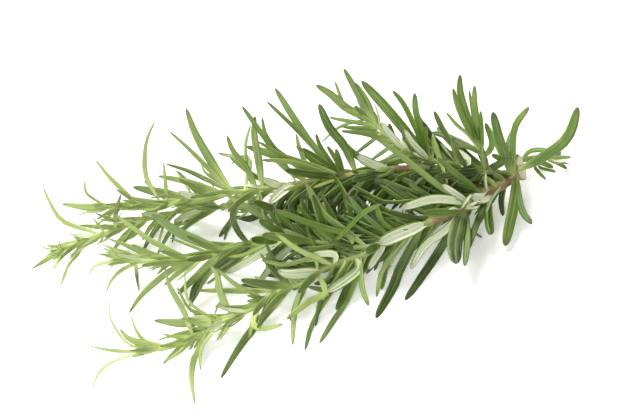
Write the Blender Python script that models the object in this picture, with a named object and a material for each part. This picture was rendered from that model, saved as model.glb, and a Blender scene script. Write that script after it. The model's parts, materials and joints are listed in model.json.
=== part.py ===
"""A cut sprig of rosemary, lying on a table.

The sprig is one branching piece of the plant, cut off with a flared heel of older wood. Its
leader carries the front shoot, and six side shoots leave it: the back limb, which has an upper
spray and an upright spray of its own, the middle shoot, the low shoot and a tuft at the heel.
Each leafy stem is one closed solid, in which the leaves are joined to the stem they grow from,
and each side shoot stands in a socket in the swollen collar where it leaves its parent.

Routes and the leaves that show from the front are placed on a drawing of the sprig, seen from
the front and half above, and a height above the table turns each drawn point into a place. The
leaves on the other sides follow the plant's own habit: opposite pairs, each a quarter turn on
from the last. The tips that reach the table lie on it and are flat there.
"""

import math
import random
from dataclasses import dataclass

import bmesh
import bpy
from mathutils import Matrix, Vector
from mathutils.bvhtree import BVHTree
from mathutils.kdtree import KDTree

MM = 0.001
SEED = 20

# The drawing: its unit, its middle, how steeply it looks down and from how far
DRAWING_UNIT = 0.35 * MM
DRAWING_CENTRE = (313.0, 207.5)
VIEW_ELEVATION = math.radians(50.0)
EYE_DISTANCE = 1217.2 * MM
SHEET_ORIGIN = Vector((2.24 * MM, 27.55 * MM, 0.0))

# Leaf sizes
OLD_LEAF_WIDTH = 3.0 * MM
YOUNG_LEAF_WIDTH = 1.7 * MM
OLD_LEAF_LENGTH = 27.0 * MM
YOUNG_LEAF_LENGTH = 13.0 * MM
LEAF_THICKNESS_SHARE = 0.36
LEAST_THICKNESS = 0.75 * MM
LONG_LEAF = 22.0 * MM
TIP_FULLNESS = 0.3               # how much fuller a leaf's thickness stays than its width
LEAF_BOW = 0.05
LENGTH_GROWTH = 2.2              # how soon, back from a shoot's tip, leaves have their full length
WIDTH_GROWTH = 1.6               # and their full width
HABIT_GROWTH = 1.5               # and both, on leaves that follow the habit

# How a drawn leaf finds its root and leans, as shares of its seen length
ROOT_STEPS = 240
ASIDE_COST = 1.5                 # of a root beside the leaf's own line
BEYOND_COST = 0.6                # of a root past the drawn one, along the line
SHORT_COST = 1.5                 # of a root short of the drawn one
HIDDEN_ROOT = 8.0                # a drawn root this near the stem, in drawing units, is the stem's
MOST_LEAN = 0.6
SPARE_LEAN = (0.03, 0.12)
LEAN_SIDES = (1.0, 1.0, -1.0)    # leaves lean towards the eye twice as often as away from it
LEAN_TRIES = (0.1, -0.1, 0.2, -0.2, 0.32, -0.32, 0.46, -0.46, 0.62, -0.62)
OVER_STEM = 5.0                  # how near its stem, in drawing units, a leaf lies over it
FRONT_LEAN = 0.35                # the least lean of a leaf in front, as a share of its seen length
FRONT_TRIES = (1.0, 1.3, 0.7, 1.6, 2.0)
FRONT_ROOT = 0.7                 # how far its root lies before the stem's middle, in radii
FRONT_CLEAR = 6.0                # how near it, in drawing units, the others stay behind it
FRONT_MARGIN = 1.0 * MM          # and how far behind
FRONT_SHARES = (0.2, 0.35, 0.5, 0.65, 0.8, 1.0)
CROSSING_SHARES = (0.4, 0.55, 0.7, 0.85, 1.0)

# Where the leaves that follow the plant's habit stand
OLD_INTERNODE = 6.5 * MM
YOUNG_INTERNODE = 3.2 * MM
OLD_PITCH = math.radians(58.0)
YOUNG_PITCH = math.radians(24.0)
FIRST_NODE = 5.0 * MM
LAST_NODE = 0.97                 # as a share of the stem's length
TURN_PLAY = 0.15
PITCH_PLAY = 0.12
LEAST_FULL = 0.75
SHORTER = (1.0, 0.75, 0.55)
SWINGS = (0.0, 0.4, -0.4, 0.8, -0.8)
COVER = 5.0                      # how near a drawn leaf, in drawing units, a habit leaf has to stay
COVER_SHARES = (0.3, 0.6, 0.8, 1.0)
MARK_STEP = 2.5                  # between the marks of what is drawn, in drawing units
PAIR_DISTANCE = 3.5 * MM
PAIR_ANGLE = math.radians(24.0)
PAIR_SHARE = 0.3                 # where along two leaves their directions are compared

# Stems, joints and the heel
LEADER_TAPER = 3.0               # how fast the leader loses its girth beyond the heel
SIDE_TAPER = 1.5                 # and the side shoots
STEM_SIDES = 7
STEM_STEP = 7.0 * MM
COLLAR_WALL = 0.9 * MM
COLLAR_LENGTH = 3.2 * MM
SOCKET_LENGTH = 8.0 * MM
HEEL_HALF_HEIGHT = 5.6 * MM
HEEL_HALF_DEPTH = 2.3 * MM
HEEL_SLANT = 2.6 * MM            # how far the cut runs back on its near side, and on on its far side
GAP = 0.3 * MM                   # air between two leafy stems
SEAT_STEP = 0.002                # steps in which a side shoot's start is moved off its parent
NEAR_STEP = 0.002                # steps in which a curve is searched for its nearest place
NEAR_STEPS = 15

# Leaves that lie on the table, and the block that makes them flat underneath
REST_HEIGHT = 0.2 * MM           # height of a leaf's midrib where it lies on the table
LYING_LENGTH = 6.0 * MM          # how much of a resting leaf lies along the table
LYING_TIP = 0.3                  # and how much further its tip reaches, as a share of that
TABLE_HALF = 200.0 * MM
TABLE_DEEP = 20.0 * MM

# How the pieces of a leafy stem are joined: the solver, and how much the leaves are swollen
JOIN_TRIES = [("EXACT", 0.0)] + [("MANIFOLD", 0.007 * MM * step) for step in range(12)]
WELD = 0.001 * MM

# Leaf finish: the first shoot's green, and how it changes from shoot to shoot
LEAF_GREEN = (0.075, 0.20, 0.045)
GREEN_STEP = (0.012, 0.02, 0.004)
GREEN_CYCLE = 3
LEAF_ROUGHNESS = 0.5

# Cross-sections of a blade, as shares of its half width and its half thickness
FOUR_SIDED = ((1.0, 0.0), (0.0, 1.0), (-1.0, 0.0), (0.0, -1.0))
THREE_SIDED = ((1.0, -0.35), (0.0, 1.0), (-1.0, -0.35))

# Outlines of a blade: share of the length, share of the width
LONG_OUTLINE = ((0.0, 0.42), (0.22, 0.84), (0.58, 1.0), (0.88, 0.7))
SHORT_OUTLINE = ((0.0, 0.45), (0.4, 1.0), (0.82, 0.76))

UPPER, UNDER = 1.0, -1.0

ACROSS = Vector((1.0, 0.0, 0.0))
UPWARD = Vector((0.0, math.sin(VIEW_ELEVATION), math.cos(VIEW_ELEVATION)))
TOWARDS_EYE = Vector((0.0, -math.cos(VIEW_ELEVATION), math.sin(VIEW_ELEVATION)))


@dataclass(frozen=True)
class Shoot:
    """One leafy stem: its route and its drawn leaves.

    A route point is drawing x, drawing y and height in mm. A leaf is its seen width and then
    drawing x and y of its points, from the root to the tip, all in drawing units. Leaves show
    their upper side or their under side, or are resting ones, whose tips lie on the table. Front
    and under ones lie before the rest. Bare stretches, from one drawing x to another, are where
    the stem shows.
    """

    name: str
    parent: str
    girth: tuple
    route: tuple
    upper: tuple
    front: tuple = ()
    under: tuple = ()
    resting: tuple = ()
    bare: tuple = ()


LEADER = Shoot(
    "leader_shoot", "", (4.6, 1.3),
    ((521, 167, 9), (513, 176, 9.6), (500, 185, 10.5), (492, 190, 11), (463, 209, 12), (446, 216, 12.5),
     (430, 222, 13), (400, 236, 13), (376, 247, 12.5), (363, 255.5, 12), (338, 263, 10.5),
     (317, 273, 9), (306, 283, 8), (276, 290, 7), (258, 306, 6), (232, 317.5, 5.5),
     (213, 326.5, 5.5), (183, 342.5, 5), (165, 347, 5), (143, 351.5, 5.5)),
    bare=((322, 341), (431, 459), (490, 504)),
    front=(
        # Round the heel
        (11, 521, 173, 533, 163, 558, 147, 570, 133, 578, 107), (6.5, 512, 174, 514, 130, 529, 107),
        (9.5, 511, 174, 507, 160, 499.5, 139, 492.7, 112), (8, 513, 178, 487, 187),
        (11, 516, 178, 514.6, 200, 509.6, 225, 505, 246), (6.5, 517, 180, 521, 208, 532, 224),
        # Further on
        (16, 463, 212, 455, 240, 456, 264), (9, 464, 207, 424, 213),
        (6, 458, 200, 440, 187, 410, 163, 385, 144, 373, 136),
        (6, 478, 192, 455, 173, 438, 158), (5, 387, 234, 361.5, 213, 349, 196),
        (5, 394, 231, 381.4, 221.5, 377, 206), (4.5, 400, 247, 388, 261, 381, 273, 376.5, 297),
        (5, 313, 256, 297, 249, 275.5, 233), (4, 314, 258, 286, 265, 261, 260)),
    upper=(
        # Leaves round the heel
        (5, 508, 160, 507.5, 145, 515, 124), (4.5, 500, 152, 485.5, 123),
        (6, 505, 185, 501, 200, 503, 216),
        (6, 507, 161, 488, 168), (6, 500.5, 159, 492, 154.5),
        # Leaves of the older wood
        (7, 466, 212, 467, 240, 465, 266), (6.5, 485, 203, 476, 225, 466.5, 252),
        (3, 486, 208, 486.4, 224.6, 489.7, 235), (3, 476, 234, 482, 238),
        (9, 446, 240, 430, 265, 413, 290, 405, 300),
        (7, 462, 203, 425, 190, 390, 173), (8, 440, 205, 352, 170),
        # Leaves of the front shoot, from its foot
        (5.5, 430, 227, 417, 243, 406, 256), (10, 410, 250, 398, 273, 392, 290, 376, 318),
        (5, 361, 263, 362, 287.5, 368.6, 305.5),
        (5.5, 359, 272, 347, 300, 334, 319.6, 319.5, 343), (7, 354, 272, 336, 310),
        (4, 330, 294, 318.6, 310.7, 310.5, 328.6, 305, 350), (7, 326, 293, 311, 300, 287, 319),
        (5.5, 303, 285, 297, 299, 293.6, 321, 292.7, 345),
        (8.5, 290, 289, 275.7, 303.6, 259.6, 320.5, 238, 350, 221, 378),
        (7, 262, 304, 253.4, 318, 255, 327, 267, 328, 283, 324), (4.5, 250, 316, 225, 327),
        (9, 292, 278, 241, 280), (6, 292, 284, 241, 285), (6, 347, 276, 314, 284),
        (5, 252, 293, 236, 285, 216, 268),
        (7, 236, 314, 227, 307, 220, 291, 217, 275, 209, 264), (6, 255, 291, 198, 290.5),
        (3, 266, 296, 247, 295.5), (4.5, 268, 297, 247, 301), (5, 270, 298, 259.5, 307),
        (10, 207, 319, 183, 323, 154, 320.5), (6, 189, 325, 182.5, 309, 170, 287, 165, 268),
        (4, 215, 317, 190.5, 310, 177, 287), (3, 210, 317, 188, 300.5, 184.5, 271),
        (3, 221, 303, 214.6, 314), (4, 206, 325, 183, 333, 158, 340), (4, 200, 330, 165, 337),
        (4, 195, 345, 181, 350.5, 165, 362), (6, 200, 346, 193.6, 360, 191.4, 380, 194.8, 404),
        (4, 210, 335, 200.5, 349, 200.5, 370.6), (4, 166, 346, 149, 343.6, 137.4, 333, 131, 316),
        (8, 167, 347, 144, 344, 128, 338, 120, 329),
        (2.5, 144, 350.5, 128, 343.6, 118, 333, 110, 317, 109.5, 299), (4, 143, 351.5, 88.5, 346),
        (2.5, 140, 354, 114, 361, 99.5, 371, 92, 388.5), (3, 225.8, 330, 220, 340)),
    under=(
        (12, 494, 194, 484, 198, 471, 197), (10, 463, 202, 433.6, 199, 401, 208), (7, 463, 199, 442, 185),
        (14, 425, 224, 400.5, 234, 378.5, 243.5), (3, 516, 172, 502, 171),
        (4, 466, 208, 477, 201), (3.5, 464, 207, 478, 208), (3, 463, 206, 471, 194),
        (3, 487, 192, 485, 172), (2.5, 503, 185, 486, 212),
        (8, 464, 210, 444, 231.5, 425, 244.7, 410.5, 269),
        (7.5, 380, 251, 368, 269),
        (10, 358, 270, 338, 285.7, 327.5, 292), (12, 318, 272, 290, 274, 277.5, 271),
        (8, 334, 254, 312, 254)))

MIDDLE = Shoot(
    "middle_shoot", "leader_shoot", (1.9, 1.2),
    ((376, 247, 12.5), (352, 247, 13), (323, 243.5, 13.5), (303, 240, 13), (277, 241, 12.5),
     (254, 244, 12), (236, 248, 11.5), (218, 254, 11), (200, 258.5, 10.5), (188, 260.4, 10),
     (156, 260.4, 9.5), (138, 259.5, 9.5), (122, 257, 10)),
    front=(
        (6.5, 253, 244.5, 245.7, 241, 236.6, 229, 232.4, 215, 236, 204.5),
        (6, 352, 237, 311, 224, 290.5, 216, 275, 210),
        (7, 345, 231, 336, 224.6, 323.6, 214.7, 313, 196.4, 305.5, 182.5),
        (4, 349.5, 226, 363, 212.4, 381.4, 204), (3, 314, 250, 309, 236, 305.5, 224)),
    upper=(
        (5, 300, 241, 268, 236, 250, 239), (5, 288, 243, 262, 247, 244, 243),
        (4, 270, 243, 246, 254, 228, 257), (5, 330, 243, 300, 246, 276, 253),
        (4, 352, 247, 322, 252, 300, 249),
        (5.5, 188, 258, 170, 250.5, 149.5, 240, 136, 230, 113, 213), (3, 120, 255, 98.5, 254),
        (3, 125, 258, 96.6, 265, 89.4, 274.6), (4, 140, 262, 123, 269, 112, 279.4, 106, 292),
        (4, 136, 263, 137, 278.5, 139, 291), (4, 114, 263, 109.5, 269), (5, 144, 254, 128, 246, 109, 239),
        (3, 116, 251, 102, 244), (6.5, 190, 264, 164.6, 274.6, 142.3, 294.3, 129, 313),
        (3, 186, 273, 177, 281), (8, 205, 268, 178, 294), (8, 212, 268, 196, 286, 190, 306),
        (8, 250, 250, 212, 270), (4, 170, 262, 150, 266), (3, 172, 264, 152, 270),
        (10, 212, 247, 178, 232, 152, 214), (3, 196, 248, 170, 238)))

LOW = Shoot(
    "low_shoot", "leader_shoot", (1.8, 1.1),
    ((430, 222.5, 12.4), (413, 226, 9.5), (395, 229, 8), (364, 231, 7.5), (320, 222, 7), (280, 212, 7),
     (240, 207, 7), (200, 209, 7), (160, 215, 7.5), (125, 227, 8), (96, 235.5, 8.5), (77, 243, 8.5),
     (60, 252, 8.5)),
    upper=(
        (5, 90, 231, 63, 221.4, 51.6, 206, 43, 187), (5, 58, 253.6, 31.5, 269),
        (2.5, 52.5, 249, 44, 248, 37, 241), (3, 60, 250, 49, 251), (3, 57, 246, 59.5, 240),
        (2.5, 64, 253.6, 58, 259, 53.5, 273.7), (3, 84, 246, 68, 266, 60.7, 285), (3, 81, 235, 73.6, 236),
        (3, 99.4, 226, 92.7, 218), (3, 116, 228, 101, 225), (5, 116, 225, 121, 194),
        (2.5, 162, 230, 159, 241.6, 161, 253), (5, 152, 235, 142, 252), (6, 159, 225, 151, 233.5),
        (7, 135, 232.5, 116, 242), (3, 440, 200, 404.6, 201.6, 384, 202.4, 352, 185),
        (5, 240, 207, 230, 222, 219, 237), (4, 236, 214, 229, 226, 224, 240), (4, 228, 206, 196, 209),
        (7, 264, 213, 248, 219, 236, 217), (4, 204, 212, 188, 222, 172, 226),
        (3, 186, 214, 176, 228, 172, 243), (5, 215, 207, 196, 203, 178, 205)))

BACK = Shoot(
    "back_limb", "leader_shoot", (2.9, 1.2),
    ((509, 178, 10), (496, 173, 12), (484, 171, 13.5), (440, 170, 16), (400, 168.6, 17),
     (370, 172, 17), (346, 176, 16.5), (307, 181.5, 15.5), (282, 186, 14.5), (261, 188.5, 14),
     (240, 191.5, 13), (204, 196, 12), (170, 203, 11.5), (135, 204.5, 12), (106, 206.5, 12.5)),
    bare=((232, 264), (294, 345), (394, 406)),
    front=(
        (8, 489, 174, 481, 152, 473, 132), (7, 490, 173, 496, 166, 507, 160),
        (8, 484, 172, 460, 173, 434, 178), (7, 456, 170, 432, 172, 409, 177),
        (7, 498, 174, 480, 176, 460, 182), (6, 392, 170, 372, 176, 352, 181)),
    upper=(
        (5, 232, 193, 208, 200, 186, 204), (4, 214, 196, 192, 201, 170, 208),
        (4, 190, 199, 168, 196, 150, 198), (4, 178, 203, 158, 209, 140, 210),
        (8, 116, 207, 62, 204), (3, 111, 211, 77.5, 215), (3, 99.4, 204, 87, 194, 84.6, 181),
        (5, 135, 201, 111, 179, 95.6, 160), (5, 157, 197, 146, 177, 144.4, 158, 147, 139, 155, 121),
        (10, 175, 196, 133, 187), (4, 166, 191, 163.5, 162), (2.5, 113, 213, 89, 230),
        (9, 222, 178, 217, 171, 196, 135, 186, 108), (5, 220, 181, 193, 153, 169, 131),
        (5, 207, 180, 188, 171, 166, 164), (7, 207, 188, 183.5, 181, 158, 176),
        (2.5, 181.6, 179, 175, 169), (3, 203.6, 189.5, 180.6, 191), (4, 221, 182, 205.5, 173, 201, 163),
        (6, 289, 160, 272.5, 147.4, 255, 124.5, 242, 106), (8, 260, 170, 258, 157, 254, 133, 255, 116),
        (4, 275, 149, 265, 133, 262, 117), (3, 246, 160, 245.7, 142.6, 250.5, 125),
        (6, 252, 178, 245.7, 166.6, 233, 151, 227, 135.5), (5, 250, 160, 236, 157, 217.5, 153),
        (3, 240, 160, 230.4, 164.6), (5, 290, 160, 258, 141.7), (9, 290, 160, 246.7, 146.5),
        (4, 303, 137, 293.6, 127, 266.8, 101.5), (7, 335, 167, 313, 146, 293, 117, 275, 88),
        (9, 352, 163, 344.6, 146, 329, 127, 319, 104), (4, 332, 164, 320, 146, 316, 133.7),
        (5, 305, 163, 298.7, 146, 296, 133.7), (4, 318, 158, 302.5, 148), (5, 336, 160, 327.4, 146),
        (5, 340, 163, 336, 149), (7, 232, 198, 253, 211, 270, 221, 273, 236), (3, 261, 202, 265, 225),
        (4, 260.6, 191.5, 257, 205), (8, 342, 171, 285, 170), (5, 335, 170, 294.6, 163, 262, 160),
        (4, 349.4, 190.6, 340, 201.4, 337.7, 215), (3, 346, 178, 313, 188)),
    under=(
        (9.5, 389, 170, 357, 156), (9, 282, 183, 262, 179), (10, 296, 189, 269.5, 203),
        (8, 195, 196, 178.5, 192)),
    resting=(
        (7, 455, 169.5, 440, 186), (7, 418, 169, 402, 186), (7, 383, 171, 366, 187),
        (6, 345, 176, 328, 190), (6, 308, 181, 292, 193), (6, 268, 188, 252, 196)))

UPPER_SPRAY = Shoot(
    "upper_spray", "back_limb", (2.0, 1.3),
    ((468, 170.8, 14.3), (454, 164, 18), (436, 161, 20), (418, 156, 21), (400, 147, 22.5),
     (389, 138, 23.5), (378, 126, 24.5), (368, 119, 25)),
    bare=((420, 430), (438, 456)),
    front=((5, 432, 136, 440, 160, 448, 185),),
    upper=(
        (4, 425, 158, 419, 140, 416, 128), (4, 428, 158, 425, 140, 426, 126),
        (4, 432, 158, 433, 145, 430, 133), (4, 418, 155, 408, 146, 402, 138),
        (8.5, 362, 121, 346.6, 108, 331, 94.5, 316, 85), (4, 347, 108, 341, 98, 335, 81.5),
        (7, 371, 118, 356, 90.6, 343.7, 68.6), (7, 378, 123, 365.7, 100, 355, 83), (5, 368, 120, 355, 106),
        (4.5, 366, 124, 329, 117.5), (5, 385, 140, 365.7, 133.7, 341, 131), (5, 378, 136, 353, 130),
        (4, 366, 128, 342, 127), (3, 341, 126, 321.7, 142), (10, 417, 145, 388, 110, 361.5, 81),
        (5, 418, 134, 404, 105, 392.5, 90.5), (6, 428, 152, 423.5, 136.5, 416, 113, 414.6, 93),
        (6, 447, 152, 431, 136, 422, 121), (5, 453, 146, 442, 128, 434, 111),
        (4, 371.5, 141, 355, 154), (4, 387, 149, 371, 160), (4, 394, 155, 384, 160)),
    under=((8, 409, 143.5, 381, 122.5), (6, 469, 161, 457, 150)))

UPRIGHT_SPRAY = Shoot(
    "upright_spray", "back_limb", (2.0, 1.4),
    ((486, 171.5, 13.4), (482.5, 155, 20), (479.5, 142, 24.5)),
    front=(
        (8, 482, 152, 470, 125, 460.6, 94, 460, 74.5), (6.5, 481, 150, 468, 128, 458, 106, 453, 88.5),
        (6.5, 483, 152, 475, 108.5, 474.5, 85.5), (4, 484, 152, 482, 140, 480.6, 111)),
    upper=(
        (3, 482, 150, 475, 128, 469, 90), (6, 486, 154, 492, 144, 485.4, 123),
        (4, 480, 150, 470, 136, 457, 125, 446.5, 112.4), (7, 480, 152, 446, 136, 431, 132.5)))

HEEL_SPRAY = Shoot(
    "heel_spray", "leader_shoot", (1.8, 1.2),
    ((512, 176, 9.4), (519, 163, 6.6), (528, 158, 5.8), (537, 157, 5.4), (548, 158, 5)),
    upper=(
        (4, 548, 158, 571, 157), (5, 545, 158, 567, 168.5), (5, 519, 160, 530, 151, 547, 149.5)),
    resting=((4, 535, 158, 543, 176.5), (4, 540, 159, 551, 170.5)))

SHOOTS = (LEADER, MIDDLE, BACK, LOW, UPPER_SPRAY, UPRIGHT_SPRAY, HEEL_SPRAY)
EYE = SHEET_ORIGIN + EYE_DISTANCE * TOWARDS_EYE


def on_sheet(x: float, y: float) -> Vector:
    """Return the point of the drawing's sheet under a drawn point."""
    right = (x - DRAWING_CENTRE[0]) * DRAWING_UNIT
    up = (DRAWING_CENTRE[1] - y) * DRAWING_UNIT
    return SHEET_ORIGIN + right * ACROSS + up * UPWARD


def at_height(x: float, y: float, height: float) -> Vector:
    """Return the place that is drawn at x, y and lies at a height above the table."""
    ray = on_sheet(x, y) - EYE
    return EYE + ray * ((height - EYE.z) / ray.z)


def at_depth(x: float, y: float, depth: float) -> Vector:
    """Return the place that is drawn at x, y, so far from the sheet towards the eye."""
    ray = on_sheet(x, y) - EYE
    return EYE + ray * (1.0 - depth / EYE_DISTANCE)


def depth_of(place: Vector) -> float:
    """Return how far a place is from the sheet towards the eye."""
    return (place - SHEET_ORIGIN).dot(TOWARDS_EYE)


def drawn(place: Vector) -> Vector:
    """Return the drawn x and y of a place, as a flat vector."""
    ray = place - EYE
    hit = EYE + ray * (EYE_DISTANCE / (EYE_DISTANCE - depth_of(place))) - SHEET_ORIGIN
    x = DRAWING_CENTRE[0] + hit.dot(ACROSS) / DRAWING_UNIT
    y = DRAWING_CENTRE[1] - hit.dot(UPWARD) / DRAWING_UNIT
    return Vector((x, y, 0.0))


def square_to(vector: Vector, direction: Vector) -> Vector:
    """Return the part of a vector square to a unit direction, made a unit vector."""
    part = vector - vector.dot(direction) * direction
    return part.normalized() if part.length > 1e-9 else direction.orthogonal().normalized()


class Line:
    """A smooth curve through a few places, read by the share of its length."""

    SPAN_STEPS = 8
    HEADING_REACH = 0.02

    def __init__(self, places: list) -> None:
        ends = [2 * places[0] - places[1]] + list(places) + [2 * places[-1] - places[-2]]
        self.points = [places[0]]
        for before, start, stop, after in zip(ends, ends[1:], ends[2:], ends[3:]):
            for step in range(1, self.SPAN_STEPS + 1):
                t = step / self.SPAN_STEPS
                self.points.append(0.5 * (2 * start + (stop - before) * t
                                          + (2 * before - 5 * start + 4 * stop - after) * t * t
                                          + (3 * start - before - 3 * stop + after) * t ** 3))
        self.reach = [0.0]
        for start, stop in zip(self.points, self.points[1:]):
            self.reach.append(self.reach[-1] + (stop - start).length)
        self.length = self.reach[-1]

    def at(self, share: float) -> Vector:
        """Return the place at a share of the length."""
        wanted = min(max(share, 0.0), 1.0) * self.length
        for index in range(1, len(self.reach)):
            if self.reach[index] >= wanted:
                span = self.reach[index] - self.reach[index - 1]
                t = (wanted - self.reach[index - 1]) / span if span else 0.0
                return self.points[index - 1].lerp(self.points[index], t)
        return self.points[-1]

    def heading(self, share: float) -> Vector:
        """Return the unit direction at a share of the length."""
        return (self.at(share + self.HEADING_REACH) - self.at(share - self.HEADING_REACH)).normalized()


@dataclass
class Blade:
    """One leaf: its midrib, its width and the direction its upper side faces."""

    line: Line
    width: float
    facing: Vector
    drawn_leaf: bool

    def solid(self, swell: float = 0.0) -> tuple:
        """Return the leaf's points and faces, with its skin moved out by swell."""
        full = self.drawn_leaf
        outline = LONG_OUTLINE if full and self.line.length > LONG_LEAF else SHORT_OUTLINE
        section = FOUR_SIDED if full else THREE_SIDED
        thickness = max(LEAF_THICKNESS_SHARE * self.width, LEAST_THICKNESS)
        points = []
        for share, breadth in outline:
            heading = self.line.heading(share)
            normal = square_to(self.facing, heading)
            side = heading.cross(normal)
            half_width = 0.5 * self.width * breadth + swell
            half_thickness = 0.5 * thickness * min(1.0, breadth + TIP_FULLNESS) + swell
            place = self.line.at(share)
            points += [place + a * half_width * side + b * half_thickness * normal for a, b in section]
        points.append(self.line.at(1.0) + swell * self.line.heading(1.0))
        return points, tube_faces(len(section), len(outline), pointed=True)


def tube_faces(sides: int, rings: int, pointed: bool = False) -> list:
    """Return the faces of a closed tube of rings, with a last point if it is pointed."""
    faces = [tuple(range(sides))]
    for ring in range(rings - 1):
        low, high = ring * sides, (ring + 1) * sides
        for side in range(sides):
            after = (side + 1) % sides
            faces.append((low + after, low + side, high + side, high + after))
    last = (rings - 1) * sides
    if pointed:
        faces += [(last + (side + 1) % sides, last + side, last + sides) for side in range(sides)]
    else:
        faces.append(tuple(range(last + sides - 1, last - 1, -1)))
    return faces


def ring_round(place: Vector, heading: Vector, radius: float, sides: int = STEM_SIDES) -> list:
    """Return a ring of points round a place, square to a heading."""
    normal = square_to(UPWARD, heading)
    side = heading.cross(normal)
    turns = [2 * math.pi * step / sides for step in range(sides)]
    return [place + radius * (math.cos(turn) * side + math.sin(turn) * normal) for turn in turns]


class Stem:
    """A shoot's stem: a tapering tube along its route."""

    def __init__(self, shoot: Shoot) -> None:
        self.shoot = shoot
        self.line = Line([at_height(x, y, height * MM) for x, y, height in shoot.route])
        self.seen = [drawn(place) for place in self.line.points]
        self.start = 0.0

    def radius(self, share: float) -> float:
        """Return the stem's radius at a share of its length, thicker near its root."""
        root, tip = (0.5 * girth * MM for girth in self.shoot.girth)
        return tip + (root - tip) * (1.0 - share) ** (LEADER_TAPER if self.shoot is LEADER else SIDE_TAPER)

    def is_under(self, spot: Vector) -> bool:
        """Return whether a drawn point lies over the drawn stem."""
        return any((spot - place).length < OVER_STEM for place in self.seen)

    def is_bare(self, spot: Vector) -> bool:
        """Return whether a drawn point lies over a stretch of the stem that shows."""
        return self.is_under(spot) and any(low <= spot.x <= high for low, high in self.shoot.bare)

    def tube(self, start: float, stop: float, swell: float = 0.0) -> tuple:
        """Return the points and faces of the tube between two shares of its length."""
        rings = max(2, round((stop - start) * self.line.length / STEM_STEP) + 1)
        points = []
        for ring in range(rings):
            share = start + (stop - start) * ring / (rings - 1)
            points += ring_round(self.line.at(share), self.line.heading(share), self.radius(share) + swell)
        return points, tube_faces(STEM_SIDES, rings)

    def solid(self) -> tuple:
        """Return the stem's points and faces, with the heel flared on the leader."""
        points, faces = self.tube(self.start, 1.0)
        if self.shoot is LEADER:
            middle = self.line.at(0.0)
            for index in range(STEM_SIDES):
                arm = (points[index] - middle) / self.radius(0.0)
                tall, deep = arm.dot(UPWARD), arm.dot(TOWARDS_EYE)
                points[index] = (middle + HEEL_HALF_HEIGHT * tall * UPWARD
                                 + HEEL_HALF_DEPTH * deep * TOWARDS_EYE - HEEL_SLANT * deep * ACROSS)
        return points, faces


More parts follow.
